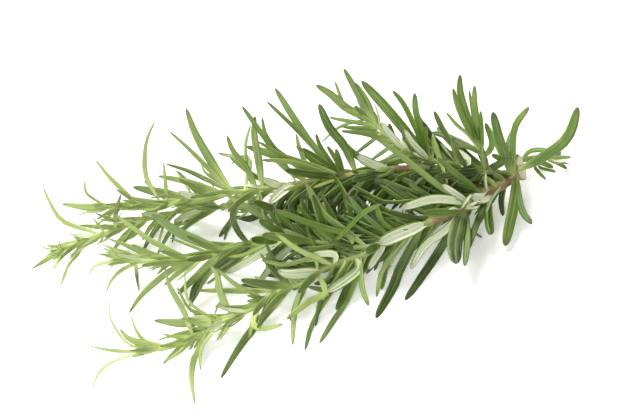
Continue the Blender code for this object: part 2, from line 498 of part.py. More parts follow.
class Sprig:
    """The whole plan: stems, drawn leaves and habit leaves, each clear of the other shoots."""

    def __init__(self) -> None:
        self.random = random.Random(SEED)
        self.stems = {shoot.name: Stem(shoot) for shoot in SHOOTS}
        self.blades = {shoot.name: [] for shoot in SHOOTS}
        self.sockets = {shoot.name: [] for shoot in SHOOTS}
        self.taken = []
        self.cover = self.drawn_cover()
        for shoot in SHOOTS:
            self.seat(shoot)
        for shoot in SHOOTS:
            self.take(shoot.name, self.stems[shoot.name].solid())
            for points, faces in self.collars(shoot):
                self.take(shoot.name, (points, faces))
        for shoot in SHOOTS:
            for leaf in shoot.resting:
                self.place_resting(shoot, leaf)
        self.front_places = []
        self.front = KDTree(0)
        self.front.balance()
        for shoot in SHOOTS:
            for side, leaves in ((UNDER, shoot.under), (UPPER, shoot.front)):
                for leaf in leaves:
                    self.place_drawn(shoot, leaf, side, True)
        for shoot in SHOOTS:
            for leaf in shoot.upper:
                self.place_drawn(shoot, leaf, UPPER, False)
        for shoot in SHOOTS:
            self.place_by_habit(shoot)

    def drawn_cover(self) -> KDTree:
        """Return a tree of the drawn points that leaves and stems cover."""
        marks = []
        for shoot in SHOOTS:
            routes = [[Vector((x, y, 0.0)) for x, y, _ in shoot.route]]
            leaves = shoot.upper + shoot.front + shoot.under + shoot.resting
            for route in routes + [leaf_points(leaf) for leaf in leaves]:
                line = Line(route)
                steps = max(2, int(line.length / MARK_STEP))
                marks += [line.at(step / steps) for step in range(steps + 1)]
        tree = KDTree(len(marks))
        for index, mark in enumerate(marks):
            tree.insert(mark, index)
        tree.balance()
        return tree

    def mark_front(self, blade: Blade) -> None:
        """Note where a leaf in front lies."""
        self.front_places += [blade.line.at(share) for share in FRONT_SHARES]
        self.front = KDTree(len(self.front_places))
        for index, place in enumerate(self.front_places):
            self.front.insert(drawn(place), index)
        self.front.balance()

    def spoils_front(self, line: Line, in_front: bool) -> bool:
        """Return whether a leaf's midrib crosses a leaf in front, or lies before it as one of the rest."""
        for share in CROSSING_SHARES:
            place = line.at(share)
            _, index, distance = self.front.find(drawn(place))
            if index is None or distance > FRONT_CLEAR:
                continue
            nearer = depth_of(place) - depth_of(self.front_places[index])
            if nearer > -FRONT_MARGIN and not (in_front and nearer > FRONT_MARGIN):
                return True
        return False

    def seat(self, shoot: Shoot) -> None:
        """Start a side shoot's stem just outside its parent's bark and note its socket."""
        if not shoot.parent:
            return
        stem, parent = self.stems[shoot.name], self.stems[shoot.parent]
        joint = nearest_share(parent.line, stem.line.at(0.0))
        while (stem.line.at(stem.start) - nearest(parent.line, stem.line.at(stem.start))).length \
                < parent.radius(joint) + GAP:
            stem.start += SEAT_STEP
        self.sockets[shoot.parent].append(shoot.name)

    def collars(self, shoot: Shoot) -> list:
        """Return the collars, as points and faces, that a shoot has round its side shoots."""
        made = []
        for name in self.sockets[shoot.name]:
            stem = self.stems[name]
            stop = stem.start + COLLAR_LENGTH / stem.line.length
            made.append(stem.tube(0.0, stop, COLLAR_WALL))
        return made

    def take(self, name: str, solid: tuple) -> None:
        """Keep a solid, with its box, so that the other shoots' leaves stay clear of it."""
        points, faces = solid
        low = Vector([min(point[axis] for point in points) for axis in range(3)])
        high = Vector([max(point[axis] for point in points) for axis in range(3)])
        self.taken.append((name, low, high, BVHTree.FromPolygons(points, faces)))

    def is_clear(self, name: str, blade: Blade) -> bool:
        """Return whether a leaf stays clear of all shoots but its own."""
        points, faces = blade.solid(GAP)
        low = Vector([min(point[axis] for point in points) for axis in range(3)])
        high = Vector([max(point[axis] for point in points) for axis in range(3)])
        tree = None
        for other, other_low, other_high, other_tree in self.taken:
            if other == name or any(low[axis] > other_high[axis] or high[axis] < other_low[axis]
                                    for axis in range(3)):
                continue
            tree = tree or BVHTree.FromPolygons(points, faces)
            if tree.overlap(other_tree):
                return False
        return True

    def root_of(self, stem: Stem, points: list) -> float:
        """Return the share of the stem that a drawn leaf grows from, along its own direction."""
        back = (points[0] - points[1]).normalized()
        best, best_cost = stem.start, math.inf
        for step in range(ROOT_STEPS + 1):
            share = stem.start + (1.0 - stem.start) * step / ROOT_STEPS
            offset = drawn(stem.line.at(share)) - points[0]
            along = offset.dot(back)
            aside = (offset - along * back).length
            cost = ASIDE_COST * aside + (BEYOND_COST * along if along > 0 else -SHORT_COST * along)
            if cost < best_cost:
                best, best_cost = share, cost
        return best

    def place_drawn(self, shoot: Shoot, leaf: tuple, side: float, in_front: bool) -> None:
        """Place one drawn leaf, at the first lean at which it is clear of the other shoots.

        Leans at which it also spoils no leaf in front are tried before the rest.
        """
        stem = self.stems[shoot.name]
        points = leaf_points(leaf)
        share = self.root_of(stem, points)
        root = stem.line.at(share)
        start = drawn(root)
        if (points[0] - start).length < HIDDEN_ROOT:
            points = points[1:]
        growth = min(1.0, LENGTH_GROWTH * (1.0 - share))
        full_length = YOUNG_LEAF_LENGTH + (OLD_LEAF_LENGTH - YOUNG_LEAF_LENGTH) * growth
        seen_length = (points[-1] - start).length * DRAWING_UNIT
        lean = math.sqrt(max(full_length ** 2 - seen_length ** 2, 0.0))
        lean = min(lean, MOST_LEAN * seen_length) + self.random.uniform(*SPARE_LEAN) * seen_length
        lean *= self.random.choice(LEAN_SIDES)
        leans = [lean, -lean] + [share_of * seen_length for share_of in LEAN_TRIES]
        if in_front or stem.is_under(0.5 * (start + points[-1])):
            leans.sort(key=lambda try_lean: try_lean < 0.0)
        if in_front:
            lean = max(abs(lean), FRONT_LEAN * seen_length)
            leans = [times * lean for times in FRONT_TRIES] + leans
        for open_view in (True, False):
            for try_lean in leans:
                blade = self.lay_out(stem, share, points, leaf[0], side, try_lean, in_front)
                if open_view and self.spoils_front(blade.line, in_front):
                    continue
                if self.is_clear(shoot.name, blade):
                    self.blades[shoot.name].append(blade)
                    self.take(shoot.name, blade.solid())
                    if in_front:
                        self.mark_front(blade)
                    return

    def place_resting(self, shoot: Shoot, leaf: tuple) -> None:
        """Place one leaf that bends down so that its tip lies on the table."""
        stem = self.stems[shoot.name]
        points = leaf_points(leaf)
        root = stem.line.at(self.root_of(stem, points))
        tip = at_height(points[-1].x, points[-1].y, REST_HEIGHT)
        knee = root.lerp(tip, 1.0 - LYING_LENGTH / (tip - root).length)
        knee.z = REST_HEIGHT
        tip += (tip - knee).normalized() * LYING_TIP * LYING_LENGTH
        places = [root, root.lerp(knee, 0.5), knee, tip]
        blade = Blade(Line(places), leaf[0] * DRAWING_UNIT, Vector((0.0, 0.0, 1.0)), True)
        if self.is_clear(shoot.name, blade):
            self.blades[shoot.name].append(blade)
            self.take(shoot.name, blade.solid())

    def lay_out(self, stem: Stem, share: float, points: list, seen: float, side: float,
                lean: float, in_front: bool) -> Blade:
        """Return a drawn leaf as a blade, its tip leaning so far towards the eye."""
        root = stem.line.at(share)
        if in_front:
            root = root + FRONT_ROOT * stem.radius(share) * TOWARDS_EYE
        start, depth = drawn(root), depth_of(root)
        total = max((points[-1] - start).length, 1.0)
        places = [root]
        for point in points:
            part = min((point - start).length / total, 1.0)
            place = at_depth(point.x, point.y, depth + lean * part)
            if place.z < REST_HEIGHT:
                place = at_height(point.x, point.y, REST_HEIGHT)
            places.append(place)
        chord = (places[-1] - root).normalized()
        forward = square_to(stem.line.heading(share), chord)
        if len(places) == 2:
            places.insert(1, 0.5 * (root + places[1]) + LEAF_BOW * (places[1] - root).length * forward)
        age = min(1.0, WIDTH_GROWTH * (1.0 - share))
        width = max(seen * DRAWING_UNIT, YOUNG_LEAF_WIDTH + (OLD_LEAF_WIDTH - YOUNG_LEAF_WIDTH) * age)
        faced = square_to(TOWARDS_EYE, chord)
        turn = math.acos(min(1.0, seen * DRAWING_UNIT / width))
        aside = chord.cross(faced)
        if aside.dot(forward) < 0:
            aside = -aside
        return Blade(Line(places), width, side * math.cos(turn) * faced + math.sin(turn) * aside, True)

    def place_by_habit(self, shoot: Shoot) -> None:
        """Place the leaves of the hidden sides in opposite pairs, each turned a quarter on."""
        stem = self.stems[shoot.name]
        roots = [(blade.line.at(0.0), blade.line.heading(PAIR_SHARE)) for blade in self.blades[shoot.name]]
        share = stem.start + FIRST_NODE / stem.line.length
        turn = self.random.uniform(0.0, math.pi)
        while share < LAST_NODE:
            for opposite in (0.0, math.pi):
                blade = self.habit_blade(shoot, share, turn + opposite, roots)
                if blade:
                    self.blades[shoot.name].append(blade)
                    self.take(shoot.name, blade.solid())
            age = min(1.0, HABIT_GROWTH * (1.0 - share))
            share += (YOUNG_INTERNODE + (OLD_INTERNODE - YOUNG_INTERNODE) * age) / stem.line.length
            turn += 0.5 * math.pi + self.random.uniform(-TURN_PLAY, TURN_PLAY)

    def habit_blade(self, shoot: Shoot, share: float, turn: float, roots: list):
        """Return one habit leaf, or None where a drawn leaf stands or no try is clear."""
        stem = self.stems[shoot.name]
        root, heading = stem.line.at(share), stem.line.heading(share)
        normal = square_to(UPWARD, heading)
        age = min(1.0, HABIT_GROWTH * (1.0 - share))
        pitch = YOUNG_PITCH + (OLD_PITCH - YOUNG_PITCH) * age + self.random.uniform(-PITCH_PLAY, PITCH_PLAY)
        width = YOUNG_LEAF_WIDTH + (OLD_LEAF_WIDTH - YOUNG_LEAF_WIDTH) * age
        full = YOUNG_LEAF_LENGTH + (OLD_LEAF_LENGTH - YOUNG_LEAF_LENGTH) * age
        full *= self.random.uniform(LEAST_FULL, 1.0)
        for part in SHORTER:
            for swing in SWINGS:
                outward = Matrix.Rotation(turn + swing, 3, heading) @ normal
                reach = math.cos(pitch) * heading + math.sin(pitch) * outward
                tip = root + part * full * reach
                tip.z = max(tip.z, REST_HEIGHT)
                middle = 0.5 * (root + tip) + LEAF_BOW * part * full * square_to(heading, reach)
                middle.z = max(middle.z, REST_HEIGHT)
                line = Line([root, middle, tip])
                if any((line.at(0.0) - place).length < PAIR_DISTANCE
                       and line.heading(PAIR_SHARE).angle(way) < PAIR_ANGLE for place, way in roots):
                    continue
                if any(self.cover.find(drawn(line.at(step)))[2] > COVER for step in COVER_SHARES):
                    continue
                if stem.is_bare(drawn(middle)) and depth_of(middle) > depth_of(root):
                    continue
                if self.spoils_front(line, False):
                    continue
                blade = Blade(line, width, square_to(heading, reach), False)
                if self.is_clear(shoot.name, blade):
                    return blade
        return None


def leaf_points(leaf: tuple) -> list:
    """Return a drawn leaf's points, from its root to its tip."""
    return [Vector((x, y, 0.0)) for x, y in zip(leaf[1::2], leaf[2::2])]


def nearest_share(line: Line, place: Vector) -> float:
    """Return the share of a line's length that is nearest a place."""
    index = min(range(len(line.points)), key=lambda number: (line.points[number] - place).length)
    return line.reach[index] / line.length


def nearest(line: Line, place: Vector) -> Vector:
    """Return the line's place that is nearest a place, read in fine steps."""
    middle = nearest_share(line, place)
    shares = [middle + NEAR_STEP * step for step in range(-NEAR_STEPS, NEAR_STEPS + 1)]
    return min((line.at(share) for share in shares), key=lambda spot: (spot - place).length)


def new_object(name: str, solid: tuple, collection: bpy.types.Collection) -> bpy.types.Object:
    """Return a mesh object of points and faces, linked to a collection."""
    points, faces = solid
    mesh = bpy.data.meshes.new(name)
    mesh.from_pydata([tuple(point) for point in points], [], faces)
    obj = bpy.data.objects.new(name, mesh)
    collection.objects.link(obj)
    return obj


def apply_boolean(obj: bpy.types.Object, operation: str, solver: str,
                  collection: bpy.types.Collection) -> None:
    """Join a collection to an object, or cut it away, and remove the collection's objects."""
    bpy.context.scene.collection.children.link(collection)
    modifier = obj.modifiers.new(operation.title(), "BOOLEAN")
    modifier.operation = operation
    modifier.operand_type = "COLLECTION"
    modifier.collection = collection
    modifier.solver = solver
    result = bpy.data.meshes.new_from_object(obj.evaluated_get(bpy.context.evaluated_depsgraph_get()))
    obj.modifiers.clear()
    obj.data = result
    for part in list(collection.objects):
        bpy.data.objects.remove(part)
    bpy.data.collections.remove(collection)


def bodies_of(shape: bmesh.types.BMesh) -> list:
    """Return the faces of each connected body, the body of most faces first."""
    bodies, seen = [], set()
    for face in shape.faces:
        if face in seen:
            continue
        body, waiting = [], [face]
        seen.add(face)
        while waiting:
            current = waiting.pop()
            body.append(current)
            for edge in current.edges:
                for neighbour in edge.link_faces:
                    if neighbour not in seen:
                        seen.add(neighbour)
                        waiting.append(neighbour)
        bodies.append(body)
    return sorted(bodies, key=len, reverse=True)


def drop_scraps(shape: bmesh.types.BMesh) -> None:
    """Delete all bodies but the largest, and edges that carry no face."""
    spare = [face for body in bodies_of(shape)[1:] for face in body]
    bmesh.ops.delete(shape, geom=spare, context="FACES")
    wires = [edge for edge in shape.edges if not edge.link_faces]
    bmesh.ops.delete(shape, geom=wires, context="EDGES")


def drop_flaps(shape: bmesh.types.BMesh) -> None:
    """Delete the pairs of triangles that lie back to back on the same three points."""
    shape.verts.index_update()
    by_points = {}
    for face in shape.faces:
        by_points.setdefault(frozenset(vert.index for vert in face.verts), []).append(face)
    flaps = [face for faces in by_points.values() if len(faces) == 2 for face in faces]
    bmesh.ops.delete(shape, geom=flaps, context="FACES_ONLY")


def keep_outer_body(mesh: bpy.types.Mesh) -> bool:
    """Keep a mesh's largest body, without scraps and sealed hollows, and say if it is closed."""
    for method in ("BEAUTY", "EAR_CLIP"):
        shape = bmesh.new()
        shape.from_mesh(mesh)
        drop_scraps(shape)
        bmesh.ops.remove_doubles(shape, verts=shape.verts[:], dist=WELD)
        idle = [vert for vert in shape.verts if len(vert.link_edges) == 2]
        bmesh.ops.dissolve_verts(shape, verts=idle)
        drop_scraps(shape)
        bmesh.ops.triangulate(shape, faces=shape.faces[:], ngon_method=method)
        drop_flaps(shape)
        drop_scraps(shape)
        closed = all(len(edge.link_faces) == 2 for edge in shape.edges)
        if closed:
            shape.to_mesh(mesh)
        shape.free()
        if closed:
            return True
    return False


def table_slab() -> tuple:
    """Return the block under the table top that the resting leaves are flat against."""
    half, deep = TABLE_HALF, TABLE_DEEP
    corners = [Vector((x * half, y * half, z)) for z in (-deep, 0.0) for y in (-1, 1) for x in (-1, 1)]
    faces = [(0, 2, 3, 1), (4, 5, 7, 6), (0, 1, 5, 4), (2, 6, 7, 3), (0, 4, 6, 2), (1, 3, 7, 5)]
    return corners, faces


def leaf_material(name: str, colour: tuple) -> bpy.types.Material:
    """Return a plain waxy leaf material of one colour."""
    material = bpy.data.materials.new(name)
    material.use_nodes = True
    shader = material.node_tree.nodes["Principled BSDF"]
    shader.inputs["Base Color"].default_value = (*colour, 1.0)
    shader.inputs["Roughness"].default_value = LEAF_ROUGHNESS
    shader.inputs["Metallic"].default_value = 0.0
    material.diffuse_color = (*colour, 1.0)
    return material


def shoot_colour(index: int) -> tuple:
    """Return a shoot's leaf green, a little different from its neighbours'."""
    steps = (index, index % GREEN_CYCLE, index)
    return tuple(part + step * count for part, step, count in zip(LEAF_GREEN, GREEN_STEP, steps))


def join_shoot(sprig: Sprig, shoot: Shoot, solver: str, swell: float) -> bpy.types.Object:
    """Return a stem joined with its collars and leaves, less its sockets and the table."""
    obj = new_object(shoot.name, sprig.stems[shoot.name].solid(), bpy.context.scene.collection)
    joined = bpy.data.collections.new("joined")
    for solid in sprig.collars(shoot) + [blade.solid(swell) for blade in sprig.blades[shoot.name]]:
        new_object("joined_part", solid, joined)
    apply_boolean(obj, "UNION", solver, joined)
    cut = bpy.data.collections.new("cut")
    new_object("table", table_slab(), cut)
    for name in sprig.sockets[shoot.name]:
        stem = sprig.stems[name]
        start = stem.start - GAP / stem.line.length
        stop = stem.start + SOCKET_LENGTH / stem.line.length
        new_object("socket", stem.tube(start, stop, GAP), cut)
    apply_boolean(obj, "DIFFERENCE", solver, cut)
    return obj


def build_shoot(sprig: Sprig, shoot: Shoot, index: int) -> None:
    """Make one leafy stem, by the first solver and hair of swelling that give one closed body."""
    for solver, swell in JOIN_TRIES:
        obj = join_shoot(sprig, shoot, solver, swell)
        if keep_outer_body(obj.data):
            break
        bpy.data.objects.remove(obj)
    else:
        raise RuntimeError(f"{shoot.name} does not join into one closed body")
    obj.name = shoot.name
    obj.data.materials.clear()
    obj.data.materials.append(leaf_material(shoot.name + "_green", shoot_colour(index)))


def main() -> None:
    """Clear the scene and build the sprig's leafy stems."""
    for obj in list(bpy.data.objects):
        bpy.data.objects.remove(obj)
    sprig = Sprig()
    for index, shoot in enumerate(SHOOTS):
        build_shoot(sprig, shoot, index)


main()
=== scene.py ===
"""The looks of a cut sprig of rosemary that lies on a table.

The sprig is one branching piece of the plant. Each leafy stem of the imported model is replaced
by two finer pieces: its leaves, with rolled edges, a groove above and felt below, and its bark.
Leaves and stems are swept by Geometry Nodes along the same midribs and routes that the solids
follow, and the script adds what is too small for solids: leaves that hug the bark, short leaves
inside the sprig, tufts in the leaf axils and at the tips, the nodes of the stems, bark ridges and
the pale wood of the cut.
"""

import json
import logging
import math
import random
from dataclasses import dataclass, field
from enum import Enum
from typing import ClassVar

import bpy
from mathutils import Matrix, Vector
from mathutils.bvhtree import BVHTree
from mathutils.kdtree import KDTree

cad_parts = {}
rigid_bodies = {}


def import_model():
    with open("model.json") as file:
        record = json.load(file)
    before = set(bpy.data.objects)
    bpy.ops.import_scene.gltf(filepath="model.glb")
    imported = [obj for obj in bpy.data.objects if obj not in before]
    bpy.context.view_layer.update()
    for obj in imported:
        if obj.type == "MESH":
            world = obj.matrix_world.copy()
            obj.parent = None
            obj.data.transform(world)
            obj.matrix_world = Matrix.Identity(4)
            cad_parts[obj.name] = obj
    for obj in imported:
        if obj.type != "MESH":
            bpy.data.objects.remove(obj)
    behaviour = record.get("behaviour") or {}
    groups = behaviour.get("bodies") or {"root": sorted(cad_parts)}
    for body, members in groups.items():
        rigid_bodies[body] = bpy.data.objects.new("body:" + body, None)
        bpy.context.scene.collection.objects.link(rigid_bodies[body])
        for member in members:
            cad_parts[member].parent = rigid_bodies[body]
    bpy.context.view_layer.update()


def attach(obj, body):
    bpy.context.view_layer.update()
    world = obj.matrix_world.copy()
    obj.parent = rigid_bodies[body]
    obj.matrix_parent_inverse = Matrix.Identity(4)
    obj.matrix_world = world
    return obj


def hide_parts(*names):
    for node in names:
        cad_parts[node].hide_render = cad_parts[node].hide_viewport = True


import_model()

LOG = logging.getLogger("rosemary_sprig")
MM = 0.001
SEED = 20
Solid = tuple[list, list]
Triple = tuple[float, float, float]
Span = tuple[float, float]
Row = tuple[float, ...]
Socket = bpy.types.NodeSocket
Object = bpy.types.Object
Mesh = bpy.types.Mesh
Material = bpy.types.Material


class Face(Enum):
    """Which side of a leaf shows."""

    UPPER = 1.0
    UNDER = -1.0


class Growth(Enum):
    """How a leaf came to its place: drawn, by the plant's habit, in a tuft or inside the sprig."""

    DRAWN = "drawn"
    HABIT = "habit"
    TUFT = "tuft"
    INNER = "inner"


@dataclass(frozen=True)
class Drawing:
    """The drawing that routes and leaves are placed on, seen from the front and half above."""

    unit: float = 0.35 * MM
    centre: Span = (313.0, 207.5)
    elevation: float = math.radians(50.0)
    eye_distance: float = 1217.2 * MM
    origin: Triple = (2.24 * MM, 27.55 * MM, 0.0)

    @property
    def sheet(self) -> Vector:
        """Return the place of the sheet's middle."""
        return Vector(self.origin)

    @property
    def across(self) -> Vector:
        """Return the drawing's unit direction to the right."""
        return Vector((1.0, 0.0, 0.0))

    @property
    def upward(self) -> Vector:
        """Return the drawing's unit direction up the sheet."""
        return Vector((0.0, math.sin(self.elevation), math.cos(self.elevation)))

    @property
    def towards_eye(self) -> Vector:
        """Return the unit direction from the sheet to the eye."""
        return Vector((0.0, -math.cos(self.elevation), math.sin(self.elevation)))

    @property
    def eye(self) -> Vector:
        """Return the place that the drawing is seen from."""
        return self.sheet + self.eye_distance * self.towards_eye

    def on_sheet(self, x: float, y: float) -> Vector:
        """Return the point of the sheet under a drawn point."""
        right = (x - self.centre[0]) * self.unit
        up = (self.centre[1] - y) * self.unit
        return self.sheet + right * self.across + up * self.upward

    def at_height(self, x: float, y: float, height: float) -> Vector:
        """Return the place that is drawn at x, y and lies at a height above the table."""
        ray = self.on_sheet(x, y) - self.eye
        return self.eye + ray * ((height - self.eye.z) / ray.z)

    def at_depth(self, x: float, y: float, depth: float) -> Vector:
        """Return the place that is drawn at x, y, so far from the sheet towards the eye."""
        ray = self.on_sheet(x, y) - self.eye
        return self.eye + ray * (1.0 - depth / self.eye_distance)

    def depth_of(self, place: Vector) -> float:
        """Return how far a place is from the sheet towards the eye."""
        return (place - self.sheet).dot(self.towards_eye)

    def drawn(self, place: Vector) -> Vector:
        """Return the drawn x and y of a place, as a flat vector."""
        ray = place - self.eye
        scale = self.eye_distance / (self.eye_distance - self.depth_of(place))
        hit = self.eye + ray * scale - self.sheet
        x = self.centre[0] + hit.dot(self.across) / self.unit
        y = self.centre[1] - hit.dot(self.upward) / self.unit
        return Vector((x, y, 0.0))


@dataclass(frozen=True)
class LeafSizes:
    """The sizes of leaves, old and young."""

    old_width: float = 3.0 * MM
    young_width: float = 1.7 * MM
    old_length: float = 27.0 * MM
    young_length: float = 13.0 * MM
    thickness_share: float = 0.36
    least_thickness: float = 0.75 * MM
    long_leaf: float = 22.0 * MM
    bow: float = 0.05
    length_growth: float = 2.2
    width_growth: float = 1.6
    rest_height: float = 0.2 * MM
    lying_length: float = 6.0 * MM
    lying_tip: float = 0.3
    end_thickness: float = 0.3

    def length_at(self, age: float) -> float:
        """Return a leaf's full length at an age from 0 to 1."""
        return self.young_length + (self.old_length - self.young_length) * age

    def width_at(self, age: float) -> float:
        """Return a leaf's width at an age from 0 to 1."""
        return self.young_width + (self.old_width - self.young_width) * age


@dataclass(frozen=True)
class Rooting:
    """How a drawn leaf finds its root and leans, as shares of its seen length.

    Costs are of a root beside the leaf's own line, past the drawn root and short of it. A drawn
    root that is hidden this near the stem, in drawing units, is the stem's own.
    """

    steps: int = 240
    aside_cost: float = 1.5
    beyond_cost: float = 0.6
    short_cost: float = 1.5
    hidden_root: float = 8.0
    most_lean: float = 0.6
    spare_lean: Span = (0.03, 0.12)
    lean_sides: Row = (1.0, 1.0, -1.0)
    lean_tries: Row = (0.1, -0.1, 0.2, -0.2, 0.32, -0.32, 0.46, -0.46, 0.62, -0.62)
    over_stem: float = 5.0
    front_lean: float = 0.35
    front_tries: Row = (1.0, 1.3, 0.7, 1.6, 2.0)
    left_lean: float = 0.3
    front_root: float = 0.7
    front_clear: float = 6.0
    front_margin: float = 1.0 * MM
    close_root: float = 1.3
    close_lean: float = 0.12
    front_shares: Row = (0.2, 0.35, 0.5, 0.65, 0.8, 1.0)
    crossing_shares: Row = (0.4, 0.55, 0.7, 0.85, 1.0)


@dataclass(frozen=True)
class HabitSizes:
    """Where the leaves that follow the plant's own habit stand."""

    old_internode: float = 6.5 * MM
    young_internode: float = 3.2 * MM
    old_pitch: float = math.radians(58.0)
    young_pitch: float = math.radians(24.0)
    first_node: float = 5.0 * MM
    last_node: float = 0.97
    turn_play: float = 0.15
    pitch_play: float = 0.12
    least_full: float = 0.75
    shorter: Row = (1.0, 0.75, 0.55)
    swings: Row = (0.0, 0.4, -0.4, 0.8, -0.8)
    cover: float = 5.0
    cover_shares: Row = (0.3, 0.6, 0.8, 1.0)
    mark_step: float = 2.5
    pair_distance: float = 3.5 * MM
    pair_angle: float = math.radians(24.0)


@dataclass(frozen=True)
class StemSizes:
    """The sizes of stems and of the gaps between them."""

    gap: float = 0.3 * MM
    collar_wall: float = 0.9 * MM
    collar_length: float = 3.2 * MM
    sides: int = 7
    step: float = 7.0 * MM
    heel_half_height: float = 5.6 * MM
    heel_half_depth: float = 2.3 * MM
    heel_slant: float = 2.6 * MM
    leader_taper: float = 3.0
    side_taper: float = 1.5
    ageing: float = 1.5
    seat_step: float = 0.002


@dataclass(frozen=True)
class Shoot:
    """One leafy stem: its route and its drawn leaves.

    A route point is drawing x, drawing y and height in mm. A leaf is its seen width and then
    drawing x and y of its points, from the root to the tip, all in drawing units. Leaves show
    their upper side or their under side, or are resting ones, whose tips lie on the table. Front
    and under ones lie before the rest. Close ones hug the bark, nearer to other leaves than solids
    may be, and felted ones do so with their under side out. Bare stretches, from one drawing x to
    another, are where the stem shows.
    """

    name: str
    parent: str
    girth: Span
    route: tuple
    upper: tuple
    front: tuple = ()
    under: tuple = ()
    resting: tuple = ()
    bare: tuple = ()
    close: tuple = ()
    felted: tuple = ()


LEADER = Shoot(
    "leader_shoot", "", (4.6, 1.3),
    ((521, 167, 9), (513, 176, 9.6), (500, 185, 10.5), (492, 190, 11), (463, 209, 12), (446, 216, 12.5),
     (430, 222, 13), (400, 236, 13), (376, 247, 12.5), (363, 255.5, 12), (338, 263, 10.5),
     (317, 273, 9), (306, 283, 8), (276, 290, 7), (258, 306, 6), (232, 317.5, 5.5),
     (213, 326.5, 5.5), (183, 342.5, 5), (165, 347, 5), (143, 351.5, 5.5)),
    bare=((322, 341), (431, 459), (490, 504)),
    front=(
        # Round the heel
        (11, 521, 173, 533, 163, 558, 147, 570, 133, 578, 107), (6.5, 512, 174, 514, 130, 529, 107),
        (9.5, 511, 174, 507, 160, 499.5, 139, 492.7, 112), (8, 513, 178, 487, 187),
        (11, 516, 178, 514.6, 200, 509.6, 225, 505, 246), (6.5, 517, 180, 521, 208, 532, 224),
        # Further on
        (16, 463, 212, 455, 240, 456, 264), (9, 464, 207, 424, 213),
        (6, 458, 200, 440, 187, 410, 163, 385, 144, 373, 136),
        (6, 478, 192, 455, 173, 438, 158), (5, 387, 234, 361.5, 213, 349, 196),
        (5, 394, 231, 381.4, 221.5, 377, 206), (4.5, 400, 247, 388, 261, 381, 273, 376.5, 297),
        (5, 313, 256, 297, 249, 275.5, 233), (4, 314, 258, 286, 265, 261, 260)),
    upper=(
        # Leaves round the heel
        (5, 508, 160, 507.5, 145, 515, 124), (4.5, 500, 152, 485.5, 123),
        (6, 505, 185, 501, 200, 503, 216),
        (6, 507, 161, 488, 168), (6, 500.5, 159, 492, 154.5),
        # Leaves of the older wood
        (7, 466, 212, 467, 240, 465, 266), (6.5, 485, 203, 476, 225, 466.5, 252),
        (3, 486, 208, 486.4, 224.6, 489.7, 235), (3, 476, 234, 482, 238),
        (9, 446, 240, 430, 265, 413, 290, 405, 300),
        (7, 462, 203, 425, 190, 390, 173), (8, 440, 205, 352, 170),
        # Leaves of the front shoot, from its foot
        (5.5, 430, 227, 417, 243, 406, 256), (10, 410, 250, 398, 273, 392, 290, 376, 318),
        (5, 361, 263, 362, 287.5, 368.6, 305.5),
        (5.5, 359, 272, 347, 300, 334, 319.6, 319.5, 343), (7, 354, 272, 336, 310),
        (4, 330, 294, 318.6, 310.7, 310.5, 328.6, 305, 350), (7, 326, 293, 311, 300, 287, 319),
        (5.5, 303, 285, 297, 299, 293.6, 321, 292.7, 345),
        (8.5, 290, 289, 275.7, 303.6, 259.6, 320.5, 238, 350, 221, 378),
        (7, 262, 304, 253.4, 318, 255, 327, 267, 328, 283, 324), (4.5, 250, 316, 225, 327),
        (9, 292, 278, 241, 280), (6, 292, 284, 241, 285), (6, 347, 276, 314, 284),
        (5, 252, 293, 236, 285, 216, 268),
        (7, 236, 314, 227, 307, 220, 291, 217, 275, 209, 264), (6, 255, 291, 198, 290.5),
        (3, 266, 296, 247, 295.5), (4.5, 268, 297, 247, 301), (5, 270, 298, 259.5, 307),
        (10, 207, 319, 183, 323, 154, 320.5), (6, 189, 325, 182.5, 309, 170, 287, 165, 268),
        (4, 215, 317, 190.5, 310, 177, 287), (3, 210, 317, 188, 300.5, 184.5, 271),
        (3, 221, 303, 214.6, 314), (4, 206, 325, 183, 333, 158, 340), (4, 200, 330, 165, 337),
        (4, 195, 345, 181, 350.5, 165, 362), (6, 200, 346, 193.6, 360, 191.4, 380, 194.8, 404),
        (4, 210, 335, 200.5, 349, 200.5, 370.6), (4, 166, 346, 149, 343.6, 137.4, 333, 131, 316),
        (8, 167, 347, 144, 344, 128, 338, 120, 329),
        (2.5, 144, 350.5, 128, 343.6, 118, 333, 110, 317, 109.5, 299), (4, 143, 351.5, 88.5, 346),
        (2.5, 140, 354, 114, 361, 99.5, 371, 92, 388.5), (3, 225.8, 330, 220, 340)),
    under=(
        (12, 494, 194, 484, 198, 471, 197), (10, 463, 202, 433.6, 199, 401, 208), (7, 463, 199, 442, 185),
        (14, 425, 224, 400.5, 234, 378.5, 243.5), (3, 516, 172, 502, 171),
        (4, 466, 208, 477, 201), (3.5, 464, 207, 478, 208), (3, 463, 206, 471, 194),
        (3, 487, 192, 485, 172), (2.5, 503, 185, 486, 212),
        (8, 464, 210, 444, 231.5, 425, 244.7, 410.5, 269),
        (7.5, 380, 251, 368, 269),
        (10, 358, 270, 338, 285.7, 327.5, 292), (12, 318, 272, 290, 274, 277.5, 271),
        (8, 334, 254, 312, 254)),
    close=(
        (7, 513, 178, 500, 181.5, 487, 183), (5, 514, 175, 507, 172.5, 500, 174.5),
        (6, 505, 185, 500, 178, 493, 175), (4.5, 496, 188, 490, 181, 482, 177),
        (5, 352, 280, 330, 288, 308, 287),
        # Along the young stem
        (5, 284, 290, 262, 300, 242, 308), (6, 262, 304, 238, 311, 216, 322),
        (6, 242, 313, 214, 322, 190, 335), (6, 224, 320, 198, 331, 172, 343),
        (5, 202, 332, 178, 342, 151, 349)))

